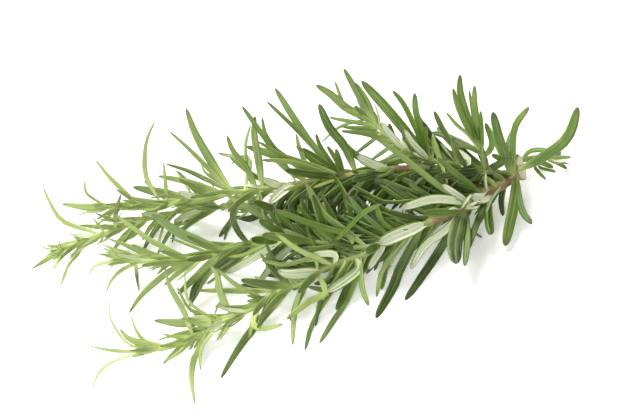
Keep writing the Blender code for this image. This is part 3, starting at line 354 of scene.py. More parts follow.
MIDDLE = Shoot(
    "middle_shoot", "leader_shoot", (1.9, 1.2),
    ((376, 247, 12.5), (352, 247, 13), (323, 243.5, 13.5), (303, 240, 13), (277, 241, 12.5),
     (254, 244, 12), (236, 248, 11.5), (218, 254, 11), (200, 258.5, 10.5), (188, 260.4, 10),
     (156, 260.4, 9.5), (138, 259.5, 9.5), (122, 257, 10)),
    front=(
        (6.5, 253, 244.5, 245.7, 241, 236.6, 229, 232.4, 215, 236, 204.5),
        (6, 352, 237, 311, 224, 290.5, 216, 275, 210),
        (7, 345, 231, 336, 224.6, 323.6, 214.7, 313, 196.4, 305.5, 182.5),
        (4, 349.5, 226, 363, 212.4, 381.4, 204), (3, 314, 250, 309, 236, 305.5, 224)),
    upper=(
        (5, 300, 241, 268, 236, 250, 239), (5, 288, 243, 262, 247, 244, 243),
        (4, 270, 243, 246, 254, 228, 257), (5, 330, 243, 300, 246, 276, 253),
        (4, 352, 247, 322, 252, 300, 249),
        (5.5, 188, 258, 170, 250.5, 149.5, 240, 136, 230, 113, 213), (3, 120, 255, 98.5, 254),
        (3, 125, 258, 96.6, 265, 89.4, 274.6), (4, 140, 262, 123, 269, 112, 279.4, 106, 292),
        (4, 136, 263, 137, 278.5, 139, 291), (4, 114, 263, 109.5, 269), (5, 144, 254, 128, 246, 109, 239),
        (3, 116, 251, 102, 244), (6.5, 190, 264, 164.6, 274.6, 142.3, 294.3, 129, 313),
        (3, 186, 273, 177, 281), (8, 205, 268, 178, 294), (8, 212, 268, 196, 286, 190, 306),
        (8, 250, 250, 212, 270), (4, 170, 262, 150, 266), (3, 172, 264, 152, 270),
        (10, 212, 247, 178, 232, 152, 214), (3, 196, 248, 170, 238)),
    close=((6, 262, 246, 236, 259, 216, 270), (4, 226, 256, 206, 278, 193, 302),
           (4, 238, 254, 222, 272, 207, 284),
           # Along the young stem
           (6, 262, 243, 238, 245, 213, 252), (6, 238, 247, 206, 253, 179, 257),
           (6, 217, 254, 186, 260, 156, 262), (5, 205, 259, 182, 264, 160, 264),
           (5, 188, 260, 164, 258, 139, 257), (4, 172, 260, 150, 257, 127, 254)),
    felted=((8, 266, 250, 244, 263, 226, 273),))

LOW = Shoot(
    "low_shoot", "leader_shoot", (1.8, 1.1),
    ((430, 222.5, 12.4), (413, 226, 9.5), (395, 229, 8), (364, 231, 7.5), (320, 222, 7), (280, 212, 7),
     (240, 207, 7), (200, 209, 7), (160, 215, 7.5), (125, 227, 8), (96, 235.5, 8.5), (77, 243, 8.5),
     (60, 252, 8.5)),
    upper=(
        (5, 90, 231, 63, 221.4, 51.6, 206, 43, 187), (5, 58, 253.6, 31.5, 269),
        (2.5, 52.5, 249, 44, 248, 37, 241), (3, 60, 250, 49, 251), (3, 57, 246, 59.5, 240),
        (2.5, 64, 253.6, 58, 259, 53.5, 273.7), (3, 84, 246, 68, 266, 60.7, 285), (3, 81, 235, 73.6, 236),
        (3, 99.4, 226, 92.7, 218), (3, 116, 228, 101, 225), (5, 116, 225, 121, 194),
        (2.5, 162, 230, 159, 241.6, 161, 253), (5, 152, 235, 142, 252), (6, 159, 225, 151, 233.5),
        (7, 135, 232.5, 116, 242), (3, 440, 200, 404.6, 201.6, 384, 202.4, 352, 185),
        (5, 240, 207, 230, 222, 219, 237), (4, 236, 214, 229, 226, 224, 240), (4, 228, 206, 196, 209),
        (7, 264, 213, 248, 219, 236, 217), (4, 204, 212, 188, 222, 172, 226),
        (3, 186, 214, 176, 228, 172, 243), (5, 215, 207, 196, 203, 178, 205)),
    close=((4, 112, 230, 92, 236, 72, 243), (4, 90, 237, 74, 243, 57, 250)))

BACK = Shoot(
    "back_limb", "leader_shoot", (2.9, 1.2),
    ((509, 178, 10), (496, 173, 12), (484, 171, 13.5), (440, 170, 16), (400, 168.6, 17),
     (370, 172, 17), (346, 176, 16.5), (307, 181.5, 15.5), (282, 186, 14.5), (261, 188.5, 14),
     (240, 191.5, 13), (204, 196, 12), (170, 203, 11.5), (135, 204.5, 12), (106, 206.5, 12.5)),
    bare=((232, 264), (294, 345), (394, 406)),
    front=(
        (8, 489, 174, 481, 152, 473, 132), (7, 490, 173, 496, 166, 507, 160),
        (8, 484, 172, 460, 173, 434, 178), (7, 456, 170, 432, 172, 409, 177),
        (7, 498, 174, 480, 176, 460, 182), (6, 392, 170, 372, 176, 352, 181)),
    upper=(
        (5, 232, 193, 208, 200, 186, 204), (4, 214, 196, 192, 201, 170, 208),
        (4, 190, 199, 168, 196, 150, 198), (4, 178, 203, 158, 209, 140, 210),
        (8, 116, 207, 62, 204), (3, 111, 211, 77.5, 215), (3, 99.4, 204, 87, 194, 84.6, 181),
        (5, 135, 201, 111, 179, 95.6, 160), (5, 157, 197, 146, 177, 144.4, 158, 147, 139, 155, 121),
        (10, 175, 196, 133, 187), (4, 166, 191, 163.5, 162), (2.5, 113, 213, 89, 230),
        (9, 222, 178, 217, 171, 196, 135, 186, 108), (5, 220, 181, 193, 153, 169, 131),
        (5, 207, 180, 188, 171, 166, 164), (7, 207, 188, 183.5, 181, 158, 176),
        (2.5, 181.6, 179, 175, 169), (3, 203.6, 189.5, 180.6, 191), (4, 221, 182, 205.5, 173, 201, 163),
        (6, 289, 160, 272.5, 147.4, 255, 124.5, 242, 106), (8, 260, 170, 258, 157, 254, 133, 255, 116),
        (4, 275, 149, 265, 133, 262, 117), (3, 246, 160, 245.7, 142.6, 250.5, 125),
        (6, 252, 178, 245.7, 166.6, 233, 151, 227, 135.5), (5, 250, 160, 236, 157, 217.5, 153),
        (3, 240, 160, 230.4, 164.6), (5, 290, 160, 258, 141.7), (9, 290, 160, 246.7, 146.5),
        (4, 303, 137, 293.6, 127, 266.8, 101.5), (7, 335, 167, 313, 146, 293, 117, 275, 88),
        (9, 352, 163, 344.6, 146, 329, 127, 319, 104), (4, 332, 164, 320, 146, 316, 133.7),
        (5, 305, 163, 298.7, 146, 296, 133.7), (4, 318, 158, 302.5, 148), (5, 336, 160, 327.4, 146),
        (5, 340, 163, 336, 149), (7, 232, 198, 253, 211, 270, 221, 273, 236), (3, 261, 202, 265, 225),
        (4, 260.6, 191.5, 257, 205), (8, 342, 171, 285, 170), (5, 335, 170, 294.6, 163, 262, 160),
        (4, 349.4, 190.6, 340, 201.4, 337.7, 215), (3, 346, 178, 313, 188)),
    under=(
        (9.5, 389, 170, 357, 156), (9, 282, 183, 262, 179), (10, 296, 189, 269.5, 203),
        (8, 195, 196, 178.5, 192)),
    resting=(
        (7, 455, 169.5, 440, 186), (7, 418, 169, 402, 186), (7, 383, 171, 366, 187),
        (6, 345, 176, 328, 190), (6, 308, 181, 292, 193), (6, 268, 188, 252, 196)),
    close=(
        (8, 488, 173, 474, 169, 458, 170), (7, 468, 169, 452, 171, 434, 174),
        (7, 446, 170, 430, 168, 413, 165), (5, 486, 176, 470, 179, 452, 177),
        (6, 430, 172, 420, 175, 409, 172), (6, 386, 170, 370, 169, 352, 172),
        # Along the young stem
        (5, 242, 191, 216, 193, 190, 198), (6, 214, 195, 190, 200, 165, 204),
        (6, 190, 199, 164, 202, 139, 204), (5, 162, 204, 139, 208, 115, 209),
        (5, 142, 204, 118, 205, 94, 207)))

UPPER_SPRAY = Shoot(
    "upper_spray", "back_limb", (2.0, 1.3),
    ((468, 170.8, 14.3), (454, 164, 18), (436, 161, 20), (418, 156, 21), (400, 147, 22.5),
     (389, 138, 23.5), (378, 126, 24.5), (368, 119, 25)),
    bare=((420, 430), (438, 456)),
    front=((5, 432, 136, 440, 160, 448, 185),),
    upper=(
        (4, 425, 158, 419, 140, 416, 128), (4, 428, 158, 425, 140, 426, 126),
        (4, 432, 158, 433, 145, 430, 133), (4, 418, 155, 408, 146, 402, 138),
        (8.5, 362, 121, 346.6, 108, 331, 94.5, 316, 85), (4, 347, 108, 341, 98, 335, 81.5),
        (7, 371, 118, 356, 90.6, 343.7, 68.6), (7, 378, 123, 365.7, 100, 355, 83), (5, 368, 120, 355, 106),
        (4.5, 366, 124, 329, 117.5), (5, 385, 140, 365.7, 133.7, 341, 131), (5, 378, 136, 353, 130),
        (4, 366, 128, 342, 127), (3, 341, 126, 321.7, 142), (10, 417, 145, 388, 110, 361.5, 81),
        (5, 418, 134, 404, 105, 392.5, 90.5), (6, 428, 152, 423.5, 136.5, 416, 113, 414.6, 93),
        (6, 447, 152, 431, 136, 422, 121), (5, 453, 146, 442, 128, 434, 111),
        (4, 371.5, 141, 355, 154), (4, 387, 149, 371, 160), (4, 394, 155, 384, 160)),
    under=((8, 409, 143.5, 381, 122.5), (6, 469, 161, 457, 150)))

UPRIGHT_SPRAY = Shoot(
    "upright_spray", "back_limb", (2.0, 1.4),
    ((486, 171.5, 13.4), (482.5, 155, 20), (479.5, 142, 24.5)),
    front=(
        (8, 482, 152, 470, 125, 460.6, 94, 460, 74.5), (6.5, 481, 150, 468, 128, 458, 106, 453, 88.5),
        (6.5, 483, 152, 475, 108.5, 474.5, 85.5), (4, 484, 152, 482, 140, 480.6, 111)),
    upper=(
        (3, 482, 150, 475, 128, 469, 90), (6, 486, 154, 492, 144, 485.4, 123),
        (4, 480, 150, 470, 136, 457, 125, 446.5, 112.4), (7, 480, 152, 446, 136, 431, 132.5)))

HEEL_SPRAY = Shoot(
    "heel_spray", "leader_shoot", (1.8, 1.2),
    ((512, 176, 9.4), (519, 163, 6.6), (528, 158, 5.8), (537, 157, 5.4), (548, 158, 5)),
    upper=(
        (4, 548, 158, 571, 157), (5, 545, 158, 567, 168.5), (5, 519, 160, 530, 151, 547, 149.5)),
    resting=((4, 535, 158, 543, 176.5), (4, 540, 159, 551, 170.5)))


class Tone(Enum):
    """A leaf's colour beside its neighbours': how light it is, and how yellow against blue."""

    SHADED = (-1.4, 0.0)
    DARK = (-0.75, 0.1)
    DEEP = (-0.45, -0.15)
    BLUE = (-0.25, -0.45)
    PLAIN = (0.0, 0.0)
    PALE = (0.5, -0.25)
    # Lime is the young leaves' real colour, and on some felt leaves that face away from the key light it is
    # painted light
    LIME = (0.7, 0.7)
    STRAW = (1.0, 1.0)


# Leaves whose colour stands out, by the drawn place of their tips
TONES = {
    Tone.SHADED: ((327.5, 292),),
    Tone.DARK: ((236, 217), (434, 178), (409, 177), (352, 181), (460, 182), (473, 132), (515, 124),
        (485.4, 123), (503, 216), (487, 187), (482, 238), (405, 300), (507, 160),
        (480.6, 111), (336, 310), (221, 378), (241, 280), (241, 285), (314, 284), (247, 295.5),
        (139, 291), (121, 194), (142, 252), (151, 233.5), (133, 187), (302.5, 148), (327.4, 146),
        (285, 170), (456, 264), (487, 183), (308, 287), (413, 165), (452, 177), (409, 172), (216, 270),
        (469, 90), (431, 132.5), (434, 111), (422, 121)),
    Tone.DEEP: ((219, 237), (224, 240), (376, 318), (178, 294), (212, 270), (154, 320.5), (493, 175),
        (458, 170), (193, 302), (352, 170), (390, 173), (438, 158), (236, 204.5), (273, 236),
        (296, 133.7), (175, 169), (321.7, 142), (190, 306), (129, 313), (466.5, 252),
        (465, 266), (532, 224), (172, 226), (172, 243)),
    Tone.PALE: ((500, 174.5), (482, 177), (373, 136), (305.5, 182.5), (376.5, 297)),
    Tone.BLUE: ((152, 214), (116, 242), (355, 154), (349, 196), (384, 160), (371, 160)),
    # Lime tips: young leaves in their real colour, and felt leaves such as those tipped at (262, 179) and
    # (357, 156), which face away from the key light and are lightened as painted light
    Tone.LIME: ((471, 197), (442, 185), (287, 319), (262, 179), (357, 156), (269.5, 203), (178.5, 192),
        (216, 322), (190, 335), (172, 343), (151, 349), (179, 257), (156, 262), (139, 257), (127, 254),
        (165, 204), (139, 204), (94, 207), (72, 243), (57, 250), (120, 329), (275.5, 233), (184.5, 271),
        (113, 213), (262, 160), (448, 185), (368.6, 305.5), (194.8, 404), (250, 239), (244, 243),
        (228, 257), (261, 260), (165, 362), (158, 340), (283, 324), (88.5, 346), (92, 388.5),
        (109.5, 299), (131, 316)),
    Tone.STRAW: ((381, 122.5), (313, 188)),
}
TONE_BY_TIP = {tip: tone for tone, tips in TONES.items() for tip in tips}

DRAWING = Drawing()
LEAF = LeafSizes()
ROOTING = Rooting()
HABIT = HabitSizes()
STEM = StemSizes()

# Cross-sections and outlines of the faceted blades that leaves are kept clear with
FOUR_SIDED = ((1.0, 0.0), (0.0, 1.0), (-1.0, 0.0), (0.0, -1.0))
THREE_SIDED = ((1.0, -0.35), (0.0, 1.0), (-1.0, -0.35))
LONG_OUTLINE = ((0.0, 0.42), (0.22, 0.84), (0.58, 1.0), (0.88, 0.7))
SHORT_OUTLINE = ((0.0, 0.45), (0.4, 1.0), (0.82, 0.76))


def square_to(vector: Vector, direction: Vector) -> Vector:
    """Return the part of a vector square to a unit direction, made a unit vector.

    Args:
        vector: The vector to take the part of.
        direction: The unit direction to be square to.

    Returns:
        A unit vector square to the direction.
    """
    part = vector - vector.dot(direction) * direction
    return part.normalized() if part.length > 1e-9 else direction.orthogonal().normalized()


def leaf_points(leaf: Row) -> list[Vector]:
    """Return a drawn leaf's points, from its root to its tip."""
    return [Vector((x, y, 0.0)) for x, y in zip(leaf[1::2], leaf[2::2])]


def tube_faces(sides: int, rings: int, pointed: bool = False) -> list[tuple]:
    """Return the faces of a closed tube of rings.

    Args:
        sides: The points of a ring.
        rings: The number of rings.
        pointed: Whether a last point closes it.

    Returns:
        The faces, as indices of points, ring by ring.
    """
    faces = [tuple(range(sides))]
    for ring in range(rings - 1):
        low, high = ring * sides, (ring + 1) * sides
        for side in range(sides):
            after = (side + 1) % sides
            faces.append((low + after, low + side, high + side, high + after))
    last = (rings - 1) * sides
    if pointed:
        faces += [(last + (side + 1) % sides, last + side, last + sides) for side in range(sides)]
    else:
        faces.append(tuple(range(last + sides - 1, last - 1, -1)))
    return faces


def smooth_step(low: float, high: float, value: float) -> float:
    """Return how far a value has come from low to high, from 0 to 1, with soft ends."""
    t = min(max((value - low) / (high - low), 0.0), 1.0)
    return t * t * (3.0 - 2.0 * t)


def box_of(points: list[Vector]) -> tuple[Vector, Vector]:
    """Return the low and the high corner of the box round some points."""
    low = Vector([min(point[axis] for point in points) for axis in range(3)])
    high = Vector([max(point[axis] for point in points) for axis in range(3)])
    return low, high


def arched(root: Vector, tip: Vector, rise: Vector) -> list[Vector]:
    """Return a midrib's root, raised middle and tip, with the last two not under the table.

    Args:
        root: Where the leaf grows from.
        tip: Where it ends.
        rise: How far its middle stands off the straight.

    Returns:
        The three places.
    """
    tip.z = max(tip.z, LEAF.rest_height)
    middle = 0.5 * (root + tip) + rise
    middle.z = max(middle.z, LEAF.rest_height)
    return [root, middle, tip]


class Line:
    """A smooth curve through a few places, read by the share of its length."""

    SPAN_STEPS = 8
    HEADING_STEP = 0.02
    FINE_STEP = 0.002
    FINE_STEPS = range(-15, 16)

    def __init__(self, places: list[Vector]) -> None:
        """Run a curve through the places.

        Args:
            places: The places, two or more, in order.
        """
        ends = [2 * places[0] - places[1]] + list(places) + [2 * places[-1] - places[-2]]
        self.points = [places[0]]
        for before, start, stop, after in zip(ends, ends[1:], ends[2:], ends[3:]):
            for step in range(1, self.SPAN_STEPS + 1):
                t = step / self.SPAN_STEPS
                self.points.append(0.5 * (2 * start + (stop - before) * t
                                          + (2 * before - 5 * start + 4 * stop - after) * t * t
                                          + (3 * start - before - 3 * stop + after) * t ** 3))
        self.reach = [0.0]
        for start, stop in zip(self.points, self.points[1:]):
            self.reach.append(self.reach[-1] + (stop - start).length)
        self.length = self.reach[-1]

    def at(self, share: float) -> Vector:
        """Return the place at a share of the length."""
        wanted = min(max(share, 0.0), 1.0) * self.length
        for index in range(1, len(self.reach)):
            if self.reach[index] >= wanted:
                span = self.reach[index] - self.reach[index - 1]
                t = (wanted - self.reach[index - 1]) / span if span else 0.0
                return self.points[index - 1].lerp(self.points[index], t)
        return self.points[-1]

    def heading(self, share: float) -> Vector:
        """Return the unit direction at a share of the length."""
        return (self.at(share + self.HEADING_STEP) - self.at(share - self.HEADING_STEP)).normalized()

    def nearest_share(self, place: Vector) -> float:
        """Return the share of the length that is nearest a place."""
        index = min(range(len(self.points)), key=lambda number: (self.points[number] - place).length)
        return self.reach[index] / self.length

    def nearest(self, place: Vector) -> Vector:
        """Return the line's own place that is nearest a place."""
        middle = self.nearest_share(place)
        shares = [middle + self.FINE_STEP * step for step in self.FINE_STEPS]
        return min((self.at(share) for share in shares), key=lambda spot: (spot - place).length)


@dataclass
class Blade:
    """One leaf: its midrib, its width and the direction its upper side faces."""

    line: Line
    width: float
    facing: Vector
    growth: Growth
    age: float = 1.0
    tone: Tone = Tone.PLAIN
    seen: float = 0.0

    def solid(self, swell: float = 0.0) -> Solid:
        """Return the faceted leaf.

        Args:
            swell: How far its skin is moved out.

        Returns:
            Its points and faces.
        """
        full = self.growth is Growth.DRAWN
        outline = LONG_OUTLINE if full and self.line.length > LEAF.long_leaf else SHORT_OUTLINE
        section = FOUR_SIDED if full else THREE_SIDED
        thickness = max(LEAF.thickness_share * self.width, LEAF.least_thickness)
        points = []
        for share, breadth in outline:
            heading = self.line.heading(share)
            normal = square_to(self.facing, heading)
            side = heading.cross(normal)
            half_width = 0.5 * self.width * breadth + swell
            half_thickness = 0.5 * thickness * min(1.0, breadth + LEAF.end_thickness) + swell
            place = self.line.at(share)
            points += [place + a * half_width * side + b * half_thickness * normal for a, b in section]
        points.append(self.line.at(1.0) + swell * self.line.heading(1.0))
        return points, tube_faces(len(section), len(outline), pointed=True)


class Stem:
    """A shoot's stem: a tapering tube along its route."""

    def __init__(self, shoot: Shoot) -> None:
        """Lay the stem out along its shoot's route."""
        self.shoot = shoot
        self.line = Line([DRAWING.at_height(x, y, height * MM) for x, y, height in shoot.route])
        self.seen = [DRAWING.drawn(place) for place in self.line.points]
        self.start = 0.0

    def radius(self, share: float) -> float:
        """Return the stem's radius at a share of its length, thicker near its root."""
        root, tip = (0.5 * girth * MM for girth in self.shoot.girth)
        taper = STEM.side_taper if self.shoot.parent else STEM.leader_taper
        return tip + (root - tip) * (1.0 - share) ** taper

    def age(self, share: float) -> float:
        """Return how old the stem is at a share of its length, from 0 at the tip to 1."""
        return min(1.0, STEM.ageing * (1.0 - share))

    def is_under(self, spot: Vector) -> bool:
        """Return whether a drawn point lies over the drawn stem."""
        return any((spot - place).length < ROOTING.over_stem for place in self.seen)

    def is_bare(self, spot: Vector) -> bool:
        """Return whether a drawn point lies over a stretch of the stem that shows."""
        return self.is_under(spot) and any(low <= spot.x <= high for low, high in self.shoot.bare)

    def ring(self, share: float, radius: float, sides: int) -> list[Vector]:
        """Return a ring of points round the stem."""
        heading = self.line.heading(share)
        normal = square_to(DRAWING.upward, heading)
        side = heading.cross(normal)
        turns = [2 * math.pi * step / sides for step in range(sides)]
        place = self.line.at(share)
        return [place + radius * (math.cos(turn) * side + math.sin(turn) * normal) for turn in turns]

    def tube(self, start: float, stop: float, swell: float = 0.0) -> Solid:
        """Return the points and faces of the tube between two shares of its length."""
        rings = max(2, round((stop - start) * self.line.length / STEM.step) + 1)
        points = []
        for ring in range(rings):
            share = start + (stop - start) * ring / (rings - 1)
            points += self.ring(share, self.radius(share) + swell, STEM.sides)
        return points, tube_faces(STEM.sides, rings)

    def solid(self) -> Solid:
        """Return the stem's points and faces, with the heel flared on the leader."""
        points, faces = self.tube(self.start, 1.0)
        if not self.shoot.parent:
            middle = self.line.at(0.0)
            for index in range(STEM.sides):
                arm = (points[index] - middle) / self.radius(0.0)
                tall, deep = arm.dot(DRAWING.upward), arm.dot(DRAWING.towards_eye)
                points[index] = (middle + STEM.heel_half_height * tall * DRAWING.upward
                                 + STEM.heel_half_depth * deep * DRAWING.towards_eye
                                 - STEM.heel_slant * deep * DRAWING.across)
        return points, faces


class Plan:
    """The whole plan: stems, drawn leaves and habit leaves, each clear of the other shoots."""

    def __init__(self, shoots: tuple[Shoot, ...]) -> None:
        """Plan all shoots.

        Args:
            shoots: The shoots, the leader first.
        """
        self.shoots = shoots
        self.random = random.Random(SEED)
        self.stems = {shoot.name: Stem(shoot) for shoot in shoots}
        self.blades: dict[str, list[Blade]] = {shoot.name: [] for shoot in shoots}
        self.sockets: dict[str, list[str]] = {shoot.name: [] for shoot in shoots}
        self.node_shares: dict[str, list[float]] = {shoot.name: [] for shoot in shoots}
        self.taken: list[tuple] = []
        self.left_out: list[tuple] = []
        self.cover = self.drawn_cover()
        for shoot in shoots:
            self.seat(shoot)
        for shoot in shoots:
            self.take(shoot.name, self.stems[shoot.name].solid())
            for solid in self.collars(shoot):
                self.take(shoot.name, solid)
        for shoot in shoots:
            for leaf in shoot.resting:
                self.place_resting(shoot, leaf)
        self.front_places: list[Vector] = []
        self.front = KDTree(0)
        self.front.balance()
        for shoot in shoots:
            for face, leaves in ((Face.UNDER, shoot.under), (Face.UPPER, shoot.front)):
                for leaf in leaves:
                    self.place_drawn(shoot, leaf, face, True)
        for shoot in shoots:
            for leaf in shoot.upper:
                self.place_drawn(shoot, leaf, Face.UPPER, False)
        for shoot in shoots:
            self.place_by_habit(shoot)
        for shoot in shoots:
            for face, leaves in ((Face.UPPER, shoot.close), (Face.UNDER, shoot.felted)):
                for leaf in leaves:
                    self.place_close(shoot, leaf, face)

    def drawn_cover(self) -> KDTree:
        """Return a tree of the drawn points that leaves and stems cover."""
        marks = []
        for shoot in self.shoots:
            routes = [[Vector((x, y, 0.0)) for x, y, _ in shoot.route]]
            leaves = shoot.upper + shoot.front + shoot.under + shoot.resting
            for route in routes + [leaf_points(leaf) for leaf in leaves]:
                line = Line(route)
                steps = max(2, int(line.length / HABIT.mark_step))
                marks += [line.at(step / steps) for step in range(steps + 1)]
        tree = KDTree(len(marks))
        for index, mark in enumerate(marks):
            tree.insert(mark, index)
        tree.balance()
        return tree

    def is_covered(self, line: Line, shares: Row, reach: float) -> bool:
        """Return whether a line's places are all drawn near a drawn leaf or stem."""
        return all(self.cover.find(DRAWING.drawn(line.at(share)))[2] <= reach for share in shares)

    def mark_front(self, blade: Blade) -> None:
        """Note where a leaf in front lies."""
        self.front_places += [blade.line.at(share) for share in ROOTING.front_shares]
        self.front = KDTree(len(self.front_places))
        for index, place in enumerate(self.front_places):
            self.front.insert(DRAWING.drawn(place), index)
        self.front.balance()

    def spoils_front(self, line: Line, in_front: bool, shares: Row = ROOTING.crossing_shares) -> bool:
        """Return whether a leaf's midrib crosses a leaf in front, or lies before it as one of the rest."""
        for share in shares:
            place = line.at(share)
            _, index, distance = self.front.find(DRAWING.drawn(place))
            if index is None or distance > ROOTING.front_clear:
                continue
            nearer = DRAWING.depth_of(place) - DRAWING.depth_of(self.front_places[index])
            if nearer > -ROOTING.front_margin and not (in_front and nearer > ROOTING.front_margin):
                return True
        return False

    def hides_bark(self, line: Line) -> bool:
        """Return whether a leaf's midrib lies before a bare stretch of a stem."""
        places = [line.at(share) for share in ROOTING.front_shares]
        return any(stem.is_bare(DRAWING.drawn(place)) and place.z > stem.line.at(0.5).z
                   for stem in self.stems.values() if stem.shoot.bare for place in places)

    def seat(self, shoot: Shoot) -> None:
        """Start a side shoot's stem just outside its parent's bark and note its socket."""
        if not shoot.parent:
            return
        stem, parent = self.stems[shoot.name], self.stems[shoot.parent]
        joint = parent.line.nearest_share(stem.line.at(0.0))
        while (stem.line.at(stem.start) - parent.line.nearest(stem.line.at(stem.start))).length \
                < parent.radius(joint) + STEM.gap:
            stem.start += STEM.seat_step
        self.sockets[shoot.parent].append(shoot.name)

    def collars(self, shoot: Shoot) -> list[Solid]:
        """Return the collars, as points and faces, that a shoot has round its side shoots."""
        made = []
        for name in self.sockets[shoot.name]:
            stem = self.stems[name]
            made.append(stem.tube(0.0, stem.start + STEM.collar_length / stem.line.length, STEM.collar_wall))
        return made

    def take(self, name: str, solid: Solid) -> None:
        """Keep a solid, with its box, so that the other shoots' leaves stay clear of it."""
        points, faces = solid
        low, high = box_of(points)
        self.taken.append((name, low, high, BVHTree.FromPolygons(points, faces)))

    def is_clear(self, name: str, blade: Blade) -> bool:
        """Test whether a leaf stays clear of all shoots but its own.

        Args:
            name: Its shoot's name.
            blade: The leaf.

        Returns:
            True where nothing of the others is touched.
        """
        points, faces = blade.solid(STEM.gap)
        low, high = box_of(points)
        tree = None
        for other, other_low, other_high, other_tree in self.taken:
            if other == name or any(low[axis] > other_high[axis] or high[axis] < other_low[axis]
                                    for axis in range(3)):
                continue
            tree = tree or BVHTree.FromPolygons(points, faces)
            if tree.overlap(other_tree):
                return False
        return True

    def root_of(self, stem: Stem, points: list[Vector]) -> float:
        """Find where a drawn leaf grows from, along its own direction.

        Args:
            stem: The stem that it grows on.
            points: Its drawn points.

        Returns:
            The share of the stem's length.
        """
        back = (points[0] - points[1]).normalized()
        best, best_cost = stem.start, math.inf
        for step in range(ROOTING.steps + 1):
            share = stem.start + (1.0 - stem.start) * step / ROOTING.steps
            offset = DRAWING.drawn(stem.line.at(share)) - points[0]
            along = offset.dot(back)
            aside = (offset - along * back).length
            cost = ROOTING.aside_cost * aside
            cost += ROOTING.beyond_cost * along if along > 0 else -ROOTING.short_cost * along
            if cost < best_cost:
                best, best_cost = share, cost
        return best

    def keep(self, shoot: Shoot, blade: Blade) -> None:
        """Add a leaf to its shoot and keep its solid."""
        self.blades[shoot.name].append(blade)
        self.take(shoot.name, blade.solid())

    def place_drawn(self, shoot: Shoot, leaf: Row, face: Face, in_front: bool) -> None:
        """Place one drawn leaf, at the first lean at which it is clear of the other shoots.

        Leans at which it also spoils no leaf in front are tried before the rest.

        Args:
            shoot: The shoot that the leaf grows on.
            leaf: The leaf's seen width and drawn points.
            face: The side that shows.
            in_front: Whether it lies before the rest.
        """
        stem = self.stems[shoot.name]
        nearer = ROOTING.front_root if in_front else 0.0
        points = leaf_points(leaf)
        share = self.root_of(stem, points)
        start = DRAWING.drawn(stem.line.at(share))
        if (points[0] - start).length < ROOTING.hidden_root:
            points = points[1:]
        growth = min(1.0, LEAF.length_growth * (1.0 - share))
        full_length = LEAF.length_at(growth)
        seen_length = (points[-1] - start).length * DRAWING.unit
        lean = math.sqrt(max(full_length ** 2 - seen_length ** 2, 0.0))
        lean = min(lean, ROOTING.most_lean * seen_length)
        lean += self.random.uniform(*ROOTING.spare_lean) * seen_length
        lean *= self.random.choice(ROOTING.lean_sides)
        leans = [lean, -lean] + [share_of * seen_length for share_of in ROOTING.lean_tries]
        if in_front or stem.is_under(0.5 * (start + points[-1])):
            leans.sort(key=lambda try_lean: try_lean < 0.0)
        if in_front:
            lean = max(abs(lean), ROOTING.front_lean * seen_length)
            leans = [times * lean for times in ROOTING.front_tries] + leans
        for open_view in (True, False):
            for try_lean in leans:
                blade = self.lay_out(stem, share, points, leaf[0], face, try_lean, nearer)
                if open_view and self.spoils_front(blade.line, in_front):
                    continue
                if self.is_clear(shoot.name, blade):
                    self.keep(shoot, blade)
                    if in_front:
                        self.mark_front(blade)
                    return
        blade = self.lay_out(stem, share, points, leaf[0], face, ROOTING.left_lean * abs(lean), nearer)
        self.left_out.append((shoot, blade))

    def place_resting(self, shoot: Shoot, leaf: Row) -> None:
        """Place one leaf that bends down so that its tip lies on the table.

        Args:
            shoot: The shoot that it grows on.
            leaf: Its seen width and drawn points.
        """
        stem = self.stems[shoot.name]
        points = leaf_points(leaf)
        root = stem.line.at(self.root_of(stem, points))
        tip = DRAWING.at_height(points[-1].x, points[-1].y, LEAF.rest_height)
        knee = root.lerp(tip, 1.0 - LEAF.lying_length / (tip - root).length)
        knee.z = LEAF.rest_height
        tip += (tip - knee).normalized() * LEAF.lying_tip * LEAF.lying_length
        places = [root, root.lerp(knee, 0.5), knee, tip]
        blade = Blade(Line(places), leaf[0] * DRAWING.unit, Vector((0.0, 0.0, 1.0)), Growth.DRAWN)
        if self.is_clear(shoot.name, blade):
            self.keep(shoot, blade)

    def place_close(self, shoot: Shoot, leaf: Row, face: Face) -> None:
        """Place one drawn leaf that hugs the bark."""
        stem = self.stems[shoot.name]
        points = leaf_points(leaf)
        share = self.root_of(stem, points)
        seen_length = (points[-1] - points[0]).length * DRAWING.unit
        blade = self.lay_out(stem, share, points[1:], leaf[0], face, ROOTING.close_lean * seen_length,
                             ROOTING.close_root)
        self.left_out.append((shoot, blade))

    def lay_out(self, stem: Stem, share: float, points: list[Vector], seen: float, face: Face,
                lean: float, nearer: float) -> Blade:
        """Return a drawn leaf as a blade.

        Args:
            stem: The stem that it grows on.
            share: Where on the stem its root is.
            points: Its drawn points.
            seen: Its seen width in drawing units.
            face: The side that shows.
            lean: How far its tip leans towards the eye.
            nearer: How much of the stem's radius its root lies nearer the eye.

        Returns:
            The leaf, turned so that it is seen as wide as it is drawn.
        """
        root = stem.line.at(share) + nearer * stem.radius(share) * DRAWING.towards_eye
        start, depth = DRAWING.drawn(root), DRAWING.depth_of(root)
        total = max((points[-1] - start).length, 1.0)
        places = [root]
        for point in points:
            part = min((point - start).length / total, 1.0)
            place = DRAWING.at_depth(point.x, point.y, depth + lean * part)
            if place.z < LEAF.rest_height:
                place = DRAWING.at_height(point.x, point.y, LEAF.rest_height)
            places.append(place)
        chord = (places[-1] - root).normalized()
        forward = square_to(stem.line.heading(share), chord)
        if len(places) == 2:
            places.insert(1, 0.5 * (root + places[1]) + LEAF.bow * (places[1] - root).length * forward)
        age = min(1.0, LEAF.width_growth * (1.0 - share))
        width = max(seen * DRAWING.unit, LEAF.width_at(age))
        faced = square_to(DRAWING.towards_eye, chord)
        turn = math.acos(min(1.0, seen * DRAWING.unit / width))
        aside = chord.cross(faced)
        if aside.dot(forward) < 0:
            aside = -aside
        facing = face.value * math.cos(turn) * faced + math.sin(turn) * aside
        tone = TONE_BY_TIP.get((points[-1].x, points[-1].y), Tone.PLAIN)
